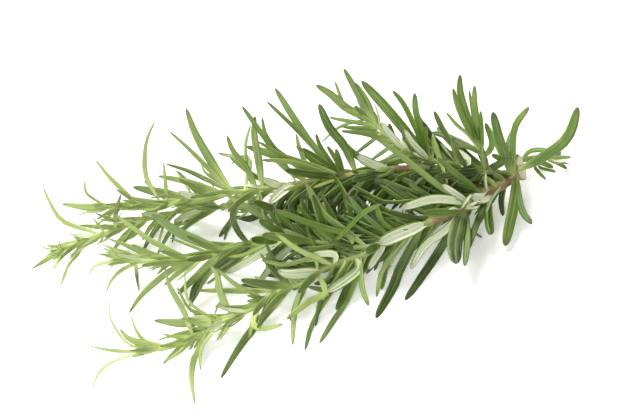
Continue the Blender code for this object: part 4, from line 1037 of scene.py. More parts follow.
        return Blade(Line(places), width, facing, Growth.DRAWN, stem.age(share), tone,
                     seen * DRAWING.unit)

    def place_by_habit(self, shoot: Shoot) -> None:
        """Place the leaves of the hidden sides in opposite pairs, each turned a quarter on."""
        stem = self.stems[shoot.name]
        roots = [(blade.line.at(0.0), blade.line.heading(0.3)) for blade in self.blades[shoot.name]]
        share = stem.start + HABIT.first_node / stem.line.length
        turn = self.random.uniform(0.0, math.pi)
        while share < HABIT.last_node:
            self.node_shares[shoot.name].append(share)
            for opposite in (0.0, math.pi):
                blade = self.habit_blade(shoot, share, turn + opposite, roots)
                if blade:
                    self.keep(shoot, blade)
            age = stem.age(share)
            share += (HABIT.young_internode
                      + (HABIT.old_internode - HABIT.young_internode) * age) / stem.line.length
            turn += 0.5 * math.pi + self.random.uniform(-HABIT.turn_play, HABIT.turn_play)

    def habit_blade(self, shoot: Shoot, share: float, turn: float, roots: list[tuple]) -> Blade | None:
        """Return one habit leaf.

        Args:
            shoot: The shoot that it grows on.
            share: Where on the stem it stands.
            turn: The way it points round the stem.
            roots: The drawn leaves' roots and headings.

        Returns:
            The leaf, or None where a drawn leaf stands or no try is clear.
        """
        stem = self.stems[shoot.name]
        root, heading = stem.line.at(share), stem.line.heading(share)
        normal = square_to(DRAWING.upward, heading)
        age = stem.age(share)
        pitch = HABIT.young_pitch + (HABIT.old_pitch - HABIT.young_pitch) * age
        pitch += self.random.uniform(-HABIT.pitch_play, HABIT.pitch_play)
        width = LEAF.width_at(age)
        full = LEAF.length_at(age) * self.random.uniform(HABIT.least_full, 1.0)
        for part in HABIT.shorter:
            for swing in HABIT.swings:
                outward = Matrix.Rotation(turn + swing, 3, heading) @ normal
                reach = math.cos(pitch) * heading + math.sin(pitch) * outward
                places = arched(root, root + part * full * reach,
                                LEAF.bow * part * full * square_to(heading, reach))
                line = Line(places)
                if any((line.at(0.0) - place).length < HABIT.pair_distance
                       and line.heading(0.3).angle(way) < HABIT.pair_angle for place, way in roots):
                    continue
                if not self.is_covered(line, HABIT.cover_shares, HABIT.cover):
                    continue
                nearer = DRAWING.depth_of(places[1]) > DRAWING.depth_of(root)
                if nearer and stem.is_bare(DRAWING.drawn(places[1])):
                    continue
                if self.spoils_front(line, False):
                    continue
                blade = Blade(line, width, square_to(heading, reach), Growth.HABIT, age)
                if self.is_clear(shoot.name, blade):
                    return blade
        return None


@dataclass(frozen=True)
class Finish:
    """A leaf surface: its colours by growth and tone, and how it takes the light."""

    young: Triple
    grown: Triple
    dark: Triple
    light: Triple
    midrib: Triple
    tip: Triple
    young_edge: Triple
    base: Triple
    roughness: float
    bump: float
    grain: float
    sheen: float = 0.0


UPPER_SIDE = Finish(
    young=(0.350, 0.450, 0.150), grown=(0.074, 0.150, 0.010), dark=(0.010, 0.032, 0.004),
    light=(0.420, 0.520, 0.160), midrib=(0.260, 0.360, 0.090), tip=(0.105, 0.090, 0.055),
    young_edge=(0.160, 0.180, 0.080), base=(0.600, 0.690, 0.250), roughness=0.42, bump=0.25,
    grain=900.0)
FELT_SIDE = Finish(
    young=(0.680, 0.750, 0.440), grown=(0.740, 0.800, 0.540), dark=(0.360, 0.440, 0.220),
    light=(0.900, 0.920, 0.740), midrib=(0.480, 0.600, 0.260), tip=(0.360, 0.320, 0.200),
    young_edge=(0.420, 0.480, 0.260), base=(0.700, 0.780, 0.400), roughness=0.88, bump=0.5,
    grain=2600.0, sheen=0.35)


@dataclass(frozen=True)
class LeafPattern:
    """How a leaf's colours are laid out over it, and how it takes the light.

    Spans are where a colour starts and is full, in noise values or as shares of the leaf's length
    or half width. Amounts are how much of the colour there is then. Base values are those of a
    young leaf and their slope with age.
    """

    midrib_width: float
    midrib_amount: float = 0.3
    ageing: Span = (0.1, 0.95)
    darkest: float = 1.0
    lightest: float = 1.4
    bluest: float = 1.0
    blue: Triple = (0.16, 0.26, 0.16)
    patch_scale: float = 70.0
    patches: Span = (0.35, 0.75)
    patch_amount: float = 0.2
    light_streaks: Span = (0.5, 0.72)
    light_amount: float = 0.38
    dark_streaks: Span = (0.46, 0.3)
    dark_amount: float = 0.3
    # Lighter margins on grown leaves: partly a paler margin, partly a painted highlight along the rolled
    # edge
    edge: Span = (0.72, 1.0)
    edge_amount: float = 0.3
    base_reach: Span = (0.55, -0.35)
    base_amount: Span = (0.9, -0.35)
    tip: Span = (0.86, 1.0)
    tip_amount: float = 0.6
    roughness_play: float = 0.18
    grain_height: float = 0.06 * MM
    specular: float = 0.35
    glow: float = 0.12
    glow_radius: Triple = (0.5, 1.0, 0.2)
    glow_depth: float = 0.4 * MM
    streak_scales: tuple[tuple[str, float], ...] = (("across", 6.0), ("share", 1.6), ("tone", 40.0))


@dataclass(frozen=True)
class BarkFinish:
    """Young and old bark, and the wood under it."""

    young: Triple = (0.450, 0.550, 0.170)
    green: Triple = (0.220, 0.300, 0.075)
    tan: Triple = (0.340, 0.290, 0.115)
    brown: Triple = (0.215, 0.100, 0.052)
    wood: Triple = (0.800, 0.740, 0.520)
    pith: Triple = (0.560, 0.560, 0.300)
    roughness: float = 0.75
    wood_roughness: float = 0.8
    greening: Span = (0.2, 0.9)
    browning: Span = (0.95, 1.4)
    fibres: Span = (0.4, 0.7)
    fibre_amount: float = 0.14
    fibre_height: float = 0.15 * MM
    pith_edge: Span = (0.15, 0.4)
    rim: Span = (0.9, 1.0)
    rim_amount: float = 0.6
    ray_amount: float = 0.15
    ray_height: float = 0.12 * MM


@dataclass(frozen=True)
class LeafShape:
    """The finer form of a leaf: how wide it is along its length, and half of its section.

    The section runs from the groove over the upper side to the margin, and back under the
    rolled margin to the midrib, as shares of half the leaf's width.
    """

    shares: Row
    breadths: Row
    upper_half: tuple[Span, ...]
    under_half: tuple[Span, ...]
    felt_edge: float = 0.7

    def section(self) -> list[Triple]:
        """Return the closed section's points: across, height, and 1 on the felt."""
        right = [(x, y, 0.0) for x, y in self.upper_half]
        right += [(x, y, 1.0 if x < self.felt_edge else 0.0) for x, y in self.under_half]
        left = [(-x, y, felt) for x, y, felt in reversed(right[1:-1])]
        return right + left


FULL_LEAF = LeafShape(
    shares=(0.0, 0.05, 0.12, 0.22, 0.34, 0.46, 0.58, 0.70, 0.80, 0.885, 0.945, 0.982, 1.0),
    breadths=(0.36, 0.46, 0.68, 0.88, 0.98, 1.0, 1.0, 0.98, 0.93, 0.82, 0.64, 0.38, 0.10),
    upper_half=((0.0, 0.165), (0.08, 0.195), (0.25, 0.235), (0.5, 0.235), (0.78, 0.16), (0.95, 0.02),
                (1.0, -0.11)),
    under_half=((0.93, -0.23), (0.79, -0.27), (0.65, -0.20), (0.54, -0.08), (0.28, -0.03),
                (0.13, -0.07), (0.07, -0.14), (0.0, -0.17)))
INNER_LEAF = LeafShape(
    shares=(0.0, 0.1, 0.28, 0.5, 0.72, 0.88, 0.96, 1.0),
    breadths=(0.4, 0.65, 0.95, 1.0, 0.98, 0.82, 0.52, 0.12),
    upper_half=((0.0, 0.165), (0.25, 0.235), (0.7, 0.19), (1.0, -0.11)),
    under_half=((0.82, -0.26), (0.6, -0.12), (0.13, -0.07), (0.0, -0.16)))
BROAD_LEAF = LeafShape(
    shares=FULL_LEAF.shares,
    breadths=(0.3, 0.44, 0.66, 0.86, 0.97, 1.0, 0.98, 0.94, 0.86, 0.74, 0.54, 0.3, 0.08),
    upper_half=((0.0, 0.03), (0.08, 0.05), (0.3, 0.09), (0.6, 0.09), (0.85, 0.04), (1.0, -0.05)),
    under_half=((0.93, -0.1), (0.8, -0.11), (0.6, -0.06), (0.3, -0.02), (0.12, -0.04), (0.0, -0.08)))
SMALL_LEAF = LeafShape(
    shares=(0.0, 0.15, 0.4, 0.7, 0.92, 1.0),
    breadths=(0.45, 0.75, 1.0, 0.95, 0.6, 0.12),
    upper_half=((0.0, 0.11), (0.3, 0.25), (0.8, 0.17), (1.0, -0.08)),
    under_half=((0.69, -0.24), (0.0, -0.13)))


class Shader:
    """A material that is built node by node."""

    def __init__(self, name: str) -> None:
        """Start a material with one Principled shader.

        Args:
            name: The material's name.
        """
        self.material = bpy.data.materials.new(name)
        self.material.use_nodes = True
        self.nodes = self.material.node_tree.nodes
        self.links = self.material.node_tree.links
        self.surface = self.nodes["Principled BSDF"]

    def node(self, kind: str, **settings: object) -> bpy.types.Node:
        """Return a new node with some of its settings made."""
        made = self.nodes.new(kind)
        for key, value in settings.items():
            setattr(made, key, value)
        return made

    def plug(self, value: object, socket: Socket) -> None:
        """Link a socket, or set a number or a colour, on an input socket."""
        if isinstance(value, Socket):
            self.links.new(value, socket)
        elif isinstance(value, tuple) and len(value) == 3 and socket.type == "RGBA":
            socket.default_value = (*value, 1.0)
        else:
            socket.default_value = value

    def attribute(self, name: str) -> Socket:
        """Return the value of one of the mesh's own attributes."""
        return self.node("ShaderNodeAttribute", attribute_name=name).outputs["Fac"]

    def math(self, operation: str, first: object, second: object = 0.0, clamp: bool = False) -> Socket:
        """Return the result of a sum on two values."""
        made = self.node("ShaderNodeMath", operation=operation, use_clamp=clamp)
        self.plug(first, made.inputs[0])
        self.plug(second, made.inputs[1])
        return made.outputs[0]

    def mix(self, amount: object, first: object, second: object) -> Socket:
        """Return a mix of two colours."""
        made = self.node("ShaderNodeMix", data_type="RGBA", clamp_factor=True)
        self.plug(amount, made.inputs[0])
        self.plug(first, made.inputs[6])
        self.plug(second, made.inputs[7])
        return made.outputs[2]

    def noise_over(self, scales: tuple, scale: float, detail: float) -> Socket:
        """Return a noise value that runs over three of the mesh's attributes, each at its own scale."""
        place = self.node("ShaderNodeCombineXYZ")
        for socket, (name, times) in zip(place.inputs, scales):
            self.links.new(self.math("MULTIPLY", self.attribute(name), times), socket)
        made = self.node("ShaderNodeTexNoise")
        self.links.new(place.outputs[0], made.inputs["Vector"])
        made.inputs["Scale"].default_value = scale
        made.inputs["Detail"].default_value = detail
        return made.outputs[0]

    def noise(self, scale: float, detail: float, stretch: Triple = (1.0, 1.0, 1.0)) -> Socket:
        """Return a noise value on the object's own coordinates."""
        place = self.node("ShaderNodeTexCoord").outputs["Object"]
        mapping = self.node("ShaderNodeMapping")
        mapping.inputs["Scale"].default_value = stretch
        self.links.new(place, mapping.inputs["Vector"])
        made = self.node("ShaderNodeTexNoise")
        made.inputs["Scale"].default_value = scale
        made.inputs["Detail"].default_value = detail
        self.links.new(mapping.outputs[0], made.inputs["Vector"])
        return made.outputs["Fac"]

    def ramp(self, value: object, low: float, high: float) -> Socket:
        """Return a value brought from low and high to 0 and 1, with soft ends."""
        made = self.node("ShaderNodeMapRange", interpolation_type="SMOOTHSTEP")
        self.plug(value, made.inputs["Value"])
        made.inputs["From Min"].default_value = low
        made.inputs["From Max"].default_value = high
        return made.outputs["Result"]

    def ramped(self, value: object, span: Span, most: float) -> Socket:
        """Return a value brought from a span to between 0 and the most it may be."""
        return self.math("MULTIPLY", self.ramp(value, *span), most)

    def sloping(self, value: object, start: float, slope: float) -> Socket:
        """Return a start value plus a value times a slope."""
        made = self.math("MULTIPLY_ADD", value, slope)
        made.node.inputs[2].default_value = start
        return made

    def bump(self, height: Socket, strength: float, distance: float) -> None:
        """Roughen the surface by a height."""
        made = self.node("ShaderNodeBump")
        made.inputs["Strength"].default_value = strength
        made.inputs["Distance"].default_value = distance
        self.links.new(height, made.inputs["Height"])
        self.links.new(made.outputs["Normal"], self.surface.inputs["Normal"])

    def paint(self, colour: object, roughness: object) -> None:
        """Set the surface's colour and roughness."""
        self.plug(colour, self.surface.inputs["Base Color"])
        self.plug(roughness, self.surface.inputs["Roughness"])


def leaf_surface(name: str, finish: Finish, pattern: LeafPattern) -> Material:
    """Return a leaf side's material.

    Args:
        name: The material's name.
        finish: Its colours and roughness.
        pattern: How its colours are laid out.

    Returns:
        The material, which reads the leaf's own attributes.
    """
    shader = Shader(name)
    tone, warm, age = shader.attribute("tone"), shader.attribute("warm"), shader.attribute("age")
    share, across = shader.attribute("share"), shader.math("ABSOLUTE", shader.attribute("across"))
    dark, blue = (shader.math("MULTIPLY", value, -1.0) for value in (tone, warm))
    patches = shader.noise(pattern.patch_scale, 2.0)
    streaks = shader.noise_over(pattern.streak_scales, 2.0, 3.0)
    colour = shader.mix(shader.ramp(age, *pattern.ageing), finish.young, finish.grown)
    colour = shader.mix(shader.ramp(dark, 0.0, pattern.darkest), colour, finish.dark)
    colour = shader.mix(shader.ramp(tone, 0.0, pattern.lightest), colour, finish.light)
    bluish = shader.mix(0.5, colour, pattern.blue)
    colour = shader.mix(shader.ramp(blue, 0.0, pattern.bluest), colour, bluish)
    colour = shader.mix(shader.ramped(patches, pattern.patches, pattern.patch_amount), colour,
                        finish.light)
    colour = shader.mix(shader.ramped(streaks, pattern.light_streaks, pattern.light_amount), colour,
                        finish.light)
    colour = shader.mix(shader.ramped(streaks, pattern.dark_streaks, pattern.dark_amount), colour,
                        finish.dark)
    line = shader.math("SUBTRACT", 1.0, shader.ramp(across, 0.0, pattern.midrib_width), clamp=True)
    colour = shader.mix(shader.math("MULTIPLY", line, pattern.midrib_amount), colour, finish.midrib)
    # Margins: darker on young leaves; on grown ones lighter, partly a paler margin and partly a painted
    # highlight along the rolled edge
    margin_colour_and_highlight = shader.mix(age, finish.young_edge, finish.light)
    colour = shader.mix(shader.ramped(across, pattern.edge, pattern.edge_amount), colour, margin_colour_and_highlight)
    reach = shader.sloping(age, *pattern.base_reach)
    root = shader.math("SUBTRACT", 1.0, shader.math("DIVIDE", share, reach, clamp=True), clamp=True)
    paling = shader.sloping(age, *pattern.base_amount)
    colour = shader.mix(shader.math("MULTIPLY", root, paling), colour, finish.base)
    colour = shader.mix(shader.ramped(share, pattern.tip, pattern.tip_amount), colour, finish.tip)
    grain = shader.noise(finish.grain, 4.0)
    roughness = shader.sloping(grain, finish.roughness - 0.5 * pattern.roughness_play,
                               pattern.roughness_play)
    shader.paint(colour, roughness)
    for socket, value in (("Specular IOR Level", pattern.specular), ("Sheen Weight", finish.sheen),
                          ("Subsurface Weight", pattern.glow), ("Subsurface Scale", pattern.glow_depth),
                          ("Subsurface Radius", pattern.glow_radius)):
        shader.surface.inputs[socket].default_value = value
    shader.bump(grain, finish.bump, pattern.grain_height)
    return shader.material


def bark_surface(finish: BarkFinish) -> Material:
    """Return the bark's material: green at the tips, tan and then brown with age.

    Args:
        finish: The bark's colours and roughness.

    Returns:
        The material.
    """
    shader = Shader("rosemary_bark")
    age, tan = shader.attribute("age"), shader.attribute("tan")
    fibres = shader.noise(420.0, 4.0, (0.12, 1.0, 1.0))
    blotches = shader.noise(160.0, 3.0)
    colour = shader.mix(shader.ramp(age, *finish.greening), finish.young, finish.green)
    colour = shader.mix(tan, colour, finish.tan)
    brown = shader.math("ADD", age, shader.math("MULTIPLY", blotches, 0.5))
    brown = shader.ramp(brown, *finish.browning)
    brown = shader.math("MULTIPLY", brown, shader.ramp(tan, 0.7, 1.0))
    colour = shader.mix(brown, colour, finish.brown)
    colour = shader.mix(shader.ramped(fibres, finish.fibres, finish.fibre_amount), colour, finish.wood)
    shader.paint(colour, finish.roughness)
    shader.bump(fibres, 0.6, finish.fibre_height)
    return shader.material


def wood_surface(finish: BarkFinish) -> Material:
    """Return the cut's material: pale wood with rays and a greener pith."""
    shader = Shader("cut_wood")
    radial, fibres = shader.attribute("radial"), shader.noise(1500.0, 4.0, (1.0, 1.0, 0.25))
    colour = shader.mix(shader.ramp(radial, *finish.pith_edge), finish.pith, finish.wood)
    colour = shader.mix(shader.ramped(radial, finish.rim, finish.rim_amount), colour, finish.brown)
    colour = shader.mix(shader.ramped(fibres, finish.fibres, finish.ray_amount), colour, finish.tan)
    shader.paint(colour, finish.wood_roughness)
    shader.bump(fibres, 0.5, finish.ray_height)
    return shader.material


class SweepTree:
    """A node tree that sweeps a cross-section along every line of a skeleton mesh."""

    def __init__(self, name: str) -> None:
        """Build the tree.

        Args:
            name: The tree's name.
        """
        self.tree = bpy.data.node_groups.new(name, "GeometryNodeTree")
        self.sockets: dict[str, str] = {}
        for label, kind in (("Skeleton", "Geometry"), ("Section", "Object"), ("Girth", "Float"),
                            ("Main finish", "Material"), ("Felt finish", "Material")):
            socket = self.tree.interface.new_socket(label, socket_type="NodeSocket" + kind)
            self.sockets[label] = socket.identifier
        self.tree.interface.new_socket("Geometry", in_out="OUTPUT", socket_type="NodeSocketGeometry")
        self.wire()

    def named(self, name: str, kind: str) -> Socket:
        """Return the value of a named attribute."""
        made = self.tree.nodes.new("GeometryNodeInputNamedAttribute")
        made.data_type = kind
        made.inputs["Name"].default_value = name
        return made.outputs["Attribute"]

    def wire(self) -> None:
        """Make the tree's nodes and links."""
        new, link = self.tree.nodes.new, self.tree.links.new
        source, sink = new("NodeGroupInput"), new("NodeGroupOutput")
        lines, section = new("GeometryNodeMeshToCurve"), new("GeometryNodeMeshToCurve")
        given, normals = new("GeometryNodeObjectInfo"), new("GeometryNodeSetCurveNormal")
        sweep, girth = new("GeometryNodeCurveToMesh"), new("ShaderNodeMath")
        smooth, main = new("GeometryNodeSetShadeSmooth"), new("GeometryNodeSetMaterial")
        felt, real = new("GeometryNodeSetMaterial"), new("GeometryNodeRealizeInstances")
        normals.mode = "FREE"
        girth.operation = "MULTIPLY"
        sweep.inputs["Fill Caps"].default_value = True
        for start, output, stop, socket in (
                (source, "Skeleton", lines, "Mesh"), (lines, "Curve", normals, "Curve"),
                (source, "Section", given, "Object"), (given, "Geometry", section, "Mesh"),
                (normals, "Curve", sweep, "Curve"), (section, "Curve", sweep, "Profile Curve"),
                (source, "Girth", girth, 1), (girth, 0, sweep, "Scale"), (sweep, "Mesh", smooth, 0),
                (smooth, 0, real, 0), (real, 0, main, "Geometry"), (main, 0, felt, "Geometry"),
                (source, "Main finish", main, "Material"), (source, "Felt finish", felt, "Material"),
                (felt, 0, sink, 0)):
            link(start.outputs[output], stop.inputs[socket])
        link(self.named("facing", "FLOAT_VECTOR"), normals.inputs["Normal"])
        link(self.named("breadth", "FLOAT"), girth.inputs[0])
        link(self.named("felt", "FLOAT"), felt.inputs["Selection"])

    def sweep(self, name: str, skeleton: Mesh, section: Object, finishes: tuple[Material, ...]) -> Mesh:
        """Return the mesh that the tree makes of a skeleton.

        Args:
            name: The new mesh's name.
            skeleton: The lines, with their facing and breadth.
            section: The object that holds the cross-section.
            finishes: The main material and the felt's.

        Returns:
            A plain mesh.
        """
        obj = added(name + "_skeleton", skeleton)
        modifier = obj.modifiers.new("Sweep", "NODES")
        modifier.node_group = self.tree
        for label, value in (("Section", section), ("Girth", 1.0), ("Main finish", finishes[0]),
                             ("Felt finish", finishes[1])):
            modifier[self.sockets[label]] = value
        evaluated = obj.evaluated_get(bpy.context.evaluated_depsgraph_get())
        mesh = bpy.data.meshes.new_from_object(evaluated)
        mesh.name = name
        bpy.data.objects.remove(obj)
        return mesh


def added(name: str, data: bpy.types.ID) -> Object:
    """Return a new object with its data, in the scene."""
    obj = bpy.data.objects.new(name, data)
    bpy.context.scene.collection.objects.link(obj)
    return obj


def add_values(mesh: Mesh, name: str, kind: str, values: list) -> None:
    """Store one value a point on a mesh, under a name."""
    key = "vector" if kind == "FLOAT_VECTOR" else "value"
    layer = mesh.attributes.new(name, kind, "POINT")
    layer.data.foreach_set(key, [part for value in values for part in value]
                           if kind == "FLOAT_VECTOR" else values)


def section_object(name: str, points: list[Triple]) -> Object:
    """Return an object that holds a closed cross-section, out of the render."""
    mesh = bpy.data.meshes.new(name)
    count = len(points)
    rim = [(height, across, 0.0) for across, height, _ in points]
    mesh.from_pydata(rim, [(index, (index + 1) % count) for index in range(count)], [])
    add_values(mesh, "across", "FLOAT", [x for x, _, _ in points])
    add_values(mesh, "felt", "FLOAT", [felt for _, _, felt in points])
    obj = added(name, mesh)
    obj.hide_render = True
    return obj


@dataclass
class Skeleton:
    """Lines to sweep along, with the values of their points."""

    points: list[Vector] = field(default_factory=list)
    edges: list[tuple[int, int]] = field(default_factory=list)
    facing: list[Vector] = field(default_factory=list)
    values: dict[str, list[float]] = field(default_factory=dict)

    def add_point(self, place: Vector, facing: Vector, joined: bool, **values: float) -> None:
        """Add a point, joined to the last one or not, with its values."""
        if joined:
            self.edges.append((len(self.points) - 1, len(self.points)))
        self.points.append(place)
        self.facing.append(facing)
        for key, value in values.items():
            self.values.setdefault(key, []).append(value)

    def mesh(self, name: str) -> Mesh:
        """Return the lines as a mesh of edges with attributes."""
        mesh = bpy.data.meshes.new(name)
        mesh.from_pydata([tuple(point) for point in self.points], self.edges, [])
        add_values(mesh, "facing", "FLOAT_VECTOR", self.facing)
        for key, values in self.values.items():
            add_values(mesh, key, "FLOAT", values)
        return mesh


@dataclass
class Foliage:
    """The leaves of one node, dressed: its planned ones, the ones that fill it and its small ones.

    The least age is what its youngest leaves look. Habit and inner leaves turn towards the eye by
    the eye turn, and most that would show their felt are turned over.
    """

    name: str
    blades: list[Blade]
    inner: list[Blade]
    tufts: list[Blade]
    least_age: float
    random: random.Random
    habit_eye_turn: float = 0.8
    inner_eye_turn: float = 1.6
    young_taper: float = 0.55
    taper_start: float = 0.4
    broad: float = 5.0 * MM
    twist: float = 0.35
    untwisted: float = 0.4
    green_chance: float = 0.85
    tone_play: float = 0.4

    def slimmed(self, blade: Blade) -> tuple[float, Vector]:
        """Return a leaf's width and facing, narrower and less turned away if it is seen narrow."""
        if not 0.0 < blade.seen < blade.width:
            return blade.width, blade.facing
        faced = square_to(DRAWING.towards_eye, blade.line.heading(0.5))
        width = 0.5 * (blade.seen + blade.width)
        cosine = math.copysign(blade.seen / width, blade.facing.dot(faced))
        aside = square_to(blade.facing, faced)
        return width, cosine * faced + math.sqrt(1.0 - cosine * cosine) * aside

    def skeleton(self, blades: list[Blade], shape: LeafShape) -> Skeleton:
        """Lay out the midribs of some leaves, each with a slight twist and a tone of its own.

        Args:
            blades: The leaves.
            shape: Their finer form.

        Returns:
            The lines to sweep along.
        """
        made = Skeleton()
        eye_turns = {Growth.HABIT: self.habit_eye_turn, Growth.INNER: self.inner_eye_turn}
        for blade in blades:
            twist = self.random.uniform(-self.twist, self.twist)
            width, facing = self.slimmed(blade)
            age = max(blade.age, self.least_age)
            shows_felt = facing.dot(DRAWING.towards_eye) < 0.0
            turn = eye_turns.get(blade.growth, 0.0) * (-1.0 if shows_felt else 1.0)
            facing = square_to(facing + turn * DRAWING.towards_eye, blade.line.heading(0.5))
            is_placed_by_rule = blade.growth is not Growth.DRAWN
            if is_placed_by_rule and shows_felt and self.random.random() < self.green_chance:
                facing = -facing
            tone, warm = blade.tone.value
            tone += self.random.uniform(-self.tone_play, self.tone_play)
            for index, (share, breadth) in enumerate(zip(shape.shares, shape.breadths)):
                heading = blade.line.heading(share)
                breadth *= 1.0 - self.young_taper * (1.0 - age) * smooth_step(self.taper_start, 1.0, share)
                normal = square_to(facing, heading)
                turned = Matrix.Rotation(twist * (share - self.untwisted), 3, heading) @ normal
                made.add_point(blade.line.at(share), turned, index > 0,
                               breadth=0.5 * width * breadth, share=share, tone=tone,
                               warm=warm, age=age)
        return made

    def build(self, tree: SweepTree, sections: dict[str, Object],
              finishes: tuple[Material, ...]) -> Object:
        """Return the leaves as one piece.

        Args:
            tree: The tree that sweeps them.
            sections: The leaves' cross-sections, by their layers' names.
            finishes: The upper side's and the felt's materials.

        Returns:
            The piece.
        """
        broad = [blade for blade in self.blades if blade.width > self.broad]
        full = [blade for blade in self.blades if blade.width <= self.broad]
        layers = (("full", full, FULL_LEAF), ("inner", self.inner, INNER_LEAF),
                  ("small", self.tufts, SMALL_LEAF), ("broad", broad, BROAD_LEAF))
        meshes = [tree.sweep(f"{self.name}_{key}", self.skeleton(blades, shape).mesh("midribs"),
                             sections[key], finishes) for key, blades, shape in layers if blades]
        return joined_piece(self.name + "_leaves", meshes)


def joined_piece(name: str, meshes: list[Mesh]) -> Object:
    """Join several meshes, none of them under the table top.

    Args:
        name: The object's name.
        meshes: The meshes, one or more.

    Returns:
        One object.
    """
    objects = []
    for mesh in meshes:
        for vertex in mesh.vertices:
            vertex.co.z = max(vertex.co.z, 0.0)
        objects.append(added(name, mesh))
    if len(objects) > 1:
        with bpy.context.temp_override(active_object=objects[0], selected_editable_objects=objects):
            bpy.ops.object.join()
    objects[0].name = name
    return objects[0]


@dataclass
class Bark:
    """The bark of one stem: ridged and swollen at its nodes.

    Nodes are the shares of its length at which leaves stand, and tan its stretches, from one share
    to another, and how tan each is. It starts at a share, and its youngest part looks the least age.
    """

    stem: Stem
    nodes: list[float]
    tan: tuple
    start: float
    least_age: float
    station: float = 1.0 * MM
    fewest_stations: int = 8
    sides: int = 20
    corners: int = 4
    corner_height: float = 0.05
    ridges: int = 10
    ridge_height: float = 0.03
    node_swell: float = 0.16
    node_reach: float = 0.9 * MM
    tip_start: float = 0.97
    tip_closing: float = 0.6
    tan_fade: float = 0.03

    @classmethod
    def section(cls) -> list[Triple]:
        """Return the section of a stem: nearly square, with small ridges."""
        points = []
        for step in range(cls.sides):
            turn = 2 * math.pi * step / cls.sides
            radius = (1.0 + cls.corner_height * math.cos(cls.corners * turn)
                      + cls.ridge_height * math.cos(cls.ridges * turn))
            points.append((radius * math.cos(turn), radius * math.sin(turn), 0.0))
        return points[::-1]

    def skeleton(self) -> Skeleton:
        """Return the stem's route with its radius."""
        made = Skeleton()
        stem = self.stem
        length = (1.0 - self.start) * stem.line.length
        steps = max(self.fewest_stations, round(length / self.station))
        for step in range(steps + 1):
            share = self.start + (1.0 - self.start) * step / steps
            near = min((abs(share - node) * stem.line.length for node in self.nodes), default=1.0)
            swollen = 1.0 + self.node_swell * math.exp(-(near / self.node_reach) ** 2)
            closing = 1.0 - self.tip_closing * smooth_step(self.tip_start, 1.0, share)
            tan = sum(much * smooth_step(low - self.tan_fade, low, share)
                      * (1.0 - smooth_step(high, high + self.tan_fade, share))
                      for low, high, much in self.tan)
            heading = stem.line.heading(share)
            made.add_point(stem.line.at(share), square_to(DRAWING.upward, heading), step > 0,
                           breadth=stem.radius(share) * swollen * closing,
                           age=max(stem.age(share), self.least_age), tan=tan)
        return made


@dataclass
class Heel:
    """The flared heel of older wood and its torn, slanted cut."""

    OVERLAP: ClassVar[float] = 6.0 * MM
    stem: Stem
    flare_length: float = 7.0 * MM
    swept_length: float = 8.75 * MM
    bark_thickness: float = 0.04
    rings: int = 9
    sides: int = 28
    raggedness: float = 0.05
    waviness: float = 0.03
    cut_rings: Row = (0.93, 0.75, 0.45, 0.18)
    torn_depth: float = 0.35 * MM
    hollow_depth: float = 0.5 * MM
    tan: float = 0.4

    def ring(self, along: float) -> list[Vector]:
        """Return a ring of points.

        Args:
            along: Its distance along the stem from the cut.

        Returns:
            The points.
        """
        share = along / self.stem.line.length
        middle, radius = self.stem.line.at(share), self.stem.radius(share) * (1.0 + self.bark_thickness)
        flare = max(0.0, 1.0 - along / self.flare_length) ** 1.5
        points = []
        for index, place in enumerate(self.stem.ring(share, radius, self.sides)):
            arm = (place - middle) / radius
            tall, deep = arm.dot(DRAWING.upward), arm.dot(DRAWING.towards_eye)
            flared = (middle + STEM.heel_half_height * tall * DRAWING.upward
                      + STEM.heel_half_depth * deep * DRAWING.towards_eye
                      - STEM.heel_slant * deep * DRAWING.across)
            ragged = (1.0 + self.raggedness * flare * math.sin(5.0 * index)
                      + self.waviness * math.cos(3.0 * index + 4.0 * flare))
            points.append(middle + (place.lerp(flared, flare) - middle) * ragged)
        return points

    def build(self) -> Mesh:
        """Return the heel's mesh: its bark and the wood of its cut."""
        points, radial = [], []
        for ring in range(self.rings, -1, -1):
            points += self.ring(self.swept_length * ring / self.rings)
            radial += [1.0] * self.sides
        middle = self.stem.line.at(0.0)
        rim = points[-self.sides:]
        outward = -self.stem.line.heading(0.0)
        for share in self.cut_rings:
            for index, place in enumerate(rim):
                torn = self.torn_depth * math.sin(3.0 * index + 9.0 * share) - self.hollow_depth
                points.append(middle.lerp(place, share) + outward * torn * (1.0 - share))
                radial.append(share)
        points.append(middle - outward * self.hollow_depth)
        radial.append(0.0)
        rings = self.rings + 1 + len(self.cut_rings)
        faces = [face[::-1] for face in tube_faces(self.sides, rings, pointed=True)]
        mesh = bpy.data.meshes.new("cut_heel")
        mesh.from_pydata([tuple(point) for point in points], [], faces)
        add_values(mesh, "radial", "FLOAT", radial)
        add_values(mesh, "age", "FLOAT", [1.0] * len(points))
        add_values(mesh, "tan", "FLOAT", [self.tan] * len(points))
        first_cut_face = 1 + self.rings * self.sides
        for index, polygon in enumerate(mesh.polygons):
            polygon.use_smooth = True
            polygon.material_index = 1 if index >= first_cut_face else 0
        return mesh


